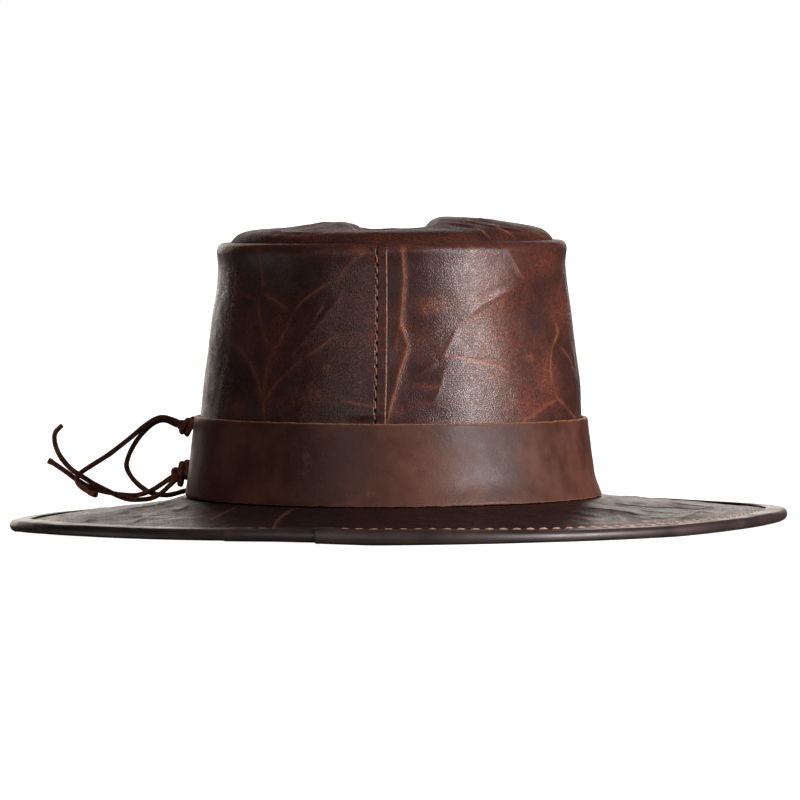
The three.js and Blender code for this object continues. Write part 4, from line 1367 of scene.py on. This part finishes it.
def pull_up_leather(name, dark, warm, light, gloss, shine, grain_depth):
    """Waxy leather: dark, worn to a warmer brown in patches, lighter where it was creased, and painted
    near black as shade where its dark mark is set.
    """
    pit_colour, raw_colour = (0.006, 0.004, 0.005), (0.17, 0.062, 0.029)
    # Near black for painted shade in holes, grooves and shadowed edges.
    painted_shade_colour = (0.002, 0.001, 0.001)
    shader = Shader(name, Specular_IOR_Level=shine)
    pebbles = shader.pebbles(0.56)
    specks = shader.between(shader.noise(1.2, 3, 0.7), 0.42, 0.6)
    fine_specks = shader.between(shader.noise(0.6, 2, 0.6), 0.42, 0.58)
    clouds = shader.between(shader.noise(26, 4, 0.6), 0.4, 0.68, 0, 0.3)
    wear = shader.calc("MAXIMUM", shader.mark("wear"), clouds)
    share = shader.plus(0.42, shader.times(specks, 0.38))
    share = shader.plus(share, shader.times(fine_specks, 0.25))
    colour = shader.blend(shader.times(wear, share), dark, warm)
    pits = shader.between(pebbles, 0.33, 0.52, 0, 0.8)
    colour = shader.blend(pits, colour, pit_colour)
    fray = shader.between(shader.noise(0.8, 3, 0.7), 0.3, 0.7, -0.3, 0.3)
    line = shader.between(shader.plus(shader.mark("crease_core"), fray), 0.5, 0.85, 0.2, 1)
    colour = shader.blend(shader.times(shader.mark("crease"), line), colour, light)
    fibres = shader.between(shader.noise(2.2, 4, 0.7), 0.35, 0.62, 0.2, 1)
    colour = shader.blend(shader.times(shader.mark("raw_edge"), fibres), colour, raw_colour)
    # Painted shade: the dark mark blends the colour towards near black.
    colour = shader.blend(shader.mark("dark"), colour, painted_shade_colour)
    roughness = shader.between(shader.noise(7, 4, 0.65), 0.3, 0.7, gloss - 0.05, gloss + 0.09)
    roughness = shader.plus(roughness, shader.times(pits, 0.25))
    roughness = shader.plus(roughness, shader.times(shader.mark("dark"), 0.5))
    wrinkles = shader.bump(shader.noise(5, 4, 0.6), 0.14)
    return shader.finish(colour, roughness, shader.bump(pebbles, -grain_depth, wrinkles))


def band_leather():
    """Smooth satin leather with clouded wax, faint scuffs and raw edges."""
    dark, light = (0.032, 0.0103, 0.007), (0.06, 0.0202, 0.0135)
    scuffed, raw = (0.14, 0.06, 0.04), (0.22, 0.08, 0.036)
    shader = Shader("band_leather", Specular_IOR_Level=0.19)
    clouds = shader.between(shader.noise(28, 3, 0.6), 0.36, 0.68)
    colour = shader.blend(clouds, dark, light)
    scuffs = shader.between(shader.noise(11, 6, 0.75), 0.58, 0.76, 0, 0.3)
    colour = shader.blend(scuffs, colour, scuffed)
    fibres = shader.between(shader.noise(0.9, 3, 0.7), 0.3, 0.6, 0.35, 1)
    colour = shader.blend(shader.times(shader.mark("raw_edge"), fibres), colour, raw)
    roughness = shader.between(shader.noise(14, 4, 0.6), 0.3, 0.7, 0.4, 0.53)
    pores = shader.bump(shader.noise(1.0, 3, 0.7), 0.11)
    return shader.finish(colour, roughness, shader.bump(shader.noise(6, 3), 0.08, pores))


def binding_leather():
    """Fine smooth tape, almost black."""
    dark, light, cut = (0.016, 0.009, 0.009), (0.03, 0.017, 0.015), (0.075, 0.032, 0.02)
    shader = Shader("binding_leather", Specular_IOR_Level=0.36, Coat_Weight=0.04, Coat_Roughness=0.4)
    colour = shader.blend(shader.between(shader.noise(20, 3), 0.35, 0.68), dark, light)
    colour = shader.blend(shader.mark("raw_edge"), colour, cut)
    roughness = shader.between(shader.noise(8, 3), 0.3, 0.7, 0.36, 0.46)
    wrinkles = shader.bump(shader.noise(3.2, 3, 0.6), 0.05)
    return shader.finish(colour, roughness, shader.bump(shader.pebbles(0.5), 0.02, wrinkles))


def lace_leather():
    """Cut thong: a dark waxed face and warm fibrous sides."""
    shader = Shader("lace_leather", Specular_IOR_Level=0.16)
    tone = shader.between(shader.noise(3.5, 3), 0.35, 0.65)
    face = shader.blend(tone, (0.022, 0.0065, 0.004), (0.065, 0.017, 0.0075))
    sides = shader.blend(tone, (0.15, 0.04, 0.015), (0.27, 0.078, 0.027))
    fibres = shader.between(shader.noise(0.8, 3, 0.7), 0.35, 0.65, 0.2, 0.85)
    colour = shader.blend(shader.times(shader.mark("raw_edge"), fibres), face, sides)
    roughness = shader.between(shader.noise(2, 2), 0.3, 0.7, 0.5, 0.66)
    return shader.finish(colour, roughness, shader.bump(shader.noise(0.6, 3, 0.7), 0.12))


def flesh_side():
    """The leather's rough inner side."""
    shader = Shader("leather_flesh_side", Specular_IOR_Level=0.2)
    colour = shader.blend(shader.noise(16, 4, 0.6), (0.10, 0.055, 0.035), (0.17, 0.10, 0.066))
    fibres = shader.between(shader.noise(0.7, 4, 0.8), 0.3, 0.7)
    colour = shader.blend(shader.times(fibres, 0.35), colour, (0.24, 0.15, 0.10))
    roughness = shader.between(fibres, 0, 1, 0.85, 0.95)
    return shader.finish(colour, roughness, shader.bump(fibres, 0.12))


def thread(name, dark, light):
    """Waxed thread, a little uneven."""
    shader = Shader(name, Specular_IOR_Level=0.15)
    colour = shader.blend(shader.between(shader.noise(0.5, 2), 0.35, 0.65), dark, light)
    roughness = shader.between(shader.noise(0.4, 2), 0.3, 0.7, 0.45, 0.6)
    return shader.finish(colour, roughness, shader.bump(shader.noise(0.25, 2), 0.05))


# Stage and light
def make_floor():
    """White paper that shines a little by itself, so that the hat's shadow stays faint."""
    half, grey, lighter_grey = 40, (0.25, 0.25, 0.25), (0.26, 0.26, 0.26)
    mesh = bpy.data.meshes.new("floor")
    corners = [(-half, -half, 0), (half, -half, 0), (half, half, 0), (-half, half, 0)]
    mesh.from_pydata(corners, [], [(0, 1, 2, 3)])
    floor = bpy.data.objects.new("floor", mesh)
    paper = Shader("floor_paper", Roughness=0.9, Specular_IOR_Level=0.1, Emission_Strength=1.0)
    paper.surface.inputs["Emission Color"].default_value = (1, 1, 1, 1)
    paper.give(paper.blend(paper.noise(400), grey, lighter_grey), paper.surface.inputs["Base Color"])
    mesh.materials.append(paper.material)
    floor.visible_diffuse = False
    floor.visible_glossy = False
    floor.visible_shadow = False
    bpy.context.scene.collection.objects.link(floor)


def make_world():
    """A dim room with a white wall low down beyond the hat, and white wherever the camera looks."""
    dim, bright = 0.015, 3.7
    warm, white = (1, 0.9, 0.83), (1, 1, 1)
    world = bpy.data.worlds.new("studio")
    bpy.context.scene.world = world
    world.use_nodes = True
    room = Nodes(world.node_tree)
    split = room.node("ShaderNodeSeparateXYZ")
    room.give(room.node("ShaderNodeTexCoord").outputs["Generated"], split.inputs[0])
    wall = room.times(
        room.between(split.outputs["Y"], 0.86, 1.0), room.between(split.outputs["Z"], -0.05, 0.02)
    )
    wall = room.times(wall, room.between(split.outputs["X"], 0.32, 0.02))
    level = room.node("ShaderNodeMapRange")
    level.inputs["To Min"].default_value = dim
    level.inputs["To Max"].default_value = bright
    room.give(wall, level.inputs["Value"])
    camera_looks = room.node("ShaderNodeLightPath").outputs["Is Camera Ray"]
    choose = room.node("ShaderNodeMix")
    choose.inputs[3].default_value = 1.0
    room.give(camera_looks, choose.inputs["Factor"])
    room.give(level.outputs["Result"], choose.inputs[2])
    background = room.tree.nodes["Background"]
    room.give(choose.outputs[0], background.inputs["Strength"])
    room.give(room.blend(camera_looks, warm, white), background.inputs["Color"])


# Broad soft lights. Azimuth 0 shines from behind the camera, and 90 from the right.
LIGHTS = table(
    "name azimuth elevation strength spread glints",
    ("key_light", 59, 13, 5.6, 25, True),
    ("right_light", 88, 20, 2.2, 60, False),
    ("floor_glow", 58, -11, 1.15, 34, True),
    ("left_glow", -100, -24, 0.3, 44, True),
    ("side_light", -28, 12, 0.6, 36, True),
    ("fill_light", -12, 50, 1.1, 70, False),
    ("front_light", 180, 25, 2.4, 60, False),
)


def make_light(name, azimuth, elevation, strength, spread, glints):
    data = bpy.data.lights.new(name, "SUN")
    data.energy = strength
    data.angle = math.radians(spread)
    sun = bpy.data.objects.new(name, data)
    sun.visible_glossy = glints
    turn, lift = math.radians(azimuth), math.radians(elevation)
    towards = Vector((math.sin(turn) * math.cos(lift), -math.cos(turn) * math.cos(lift), math.sin(lift)))
    sun.rotation_euler = towards.to_track_quat("Z", "Y").to_euler()
    bpy.context.scene.collection.objects.link(sun)


make_camera()

laces = lace_leather()
make_lace("lace_upper_long", laces, 1.3, 6)
make_lace("lace_upper_loop", laces, 1.0, 2)
make_lace("lace_lower_high", laces, 1.25, 3)
make_lace("lace_lower_low", laces, 0.9, 5)

CROWN_LOOK = dict(
    dark=(0.034, 0.0093, 0.0066), warm=(0.25, 0.063, 0.03), light=(0.2, 0.058, 0.026),
    gloss=0.2, shine=0.28, grain_depth=0.115,
)
# The top panel's leather: the wall's leather with its tones painted darker as shade on the top, and with
# duller wax.
CROWN_TOP_LOOK = dict(
    dark=(0.027, 0.0083, 0.0058), warm=(0.12, 0.031, 0.0155), light=(0.2, 0.058, 0.026),
    gloss=0.4, shine=0.05, grain_depth=0.09,
)
BRIM_LOOK = dict(
    dark=(0.013, 0.0045, 0.0033), warm=(0.055, 0.0155, 0.0085), light=(0.16, 0.046, 0.022),
    gloss=0.32, shine=0.14, grain_depth=0.055,
)
flesh = flesh_side()
make_crown_wall([pull_up_leather("crown_leather", **CROWN_LOOK), flesh])
make_crown_top([pull_up_leather("crown_top_leather", **CROWN_TOP_LOOK), flesh])
make_brim([pull_up_leather("brim_leather", **BRIM_LOOK), flesh])
make_binding([binding_leather()])
make_band([band_leather(), flesh])
make_knot("knot_upper", laces)
make_knot("knot_lower", laces)
make_seam_stitches(thread("seam_thread", dark=(0.08, 0.03, 0.015), light=(0.22, 0.09, 0.045)))
make_brim_stitches(thread("brim_thread", dark=(0.17, 0.09, 0.06), light=(0.34, 0.2, 0.145)))

make_floor()
make_world()
for light in LIGHTS:
    make_light(**light)
bpy.context.scene.view_settings.view_transform = "Standard"
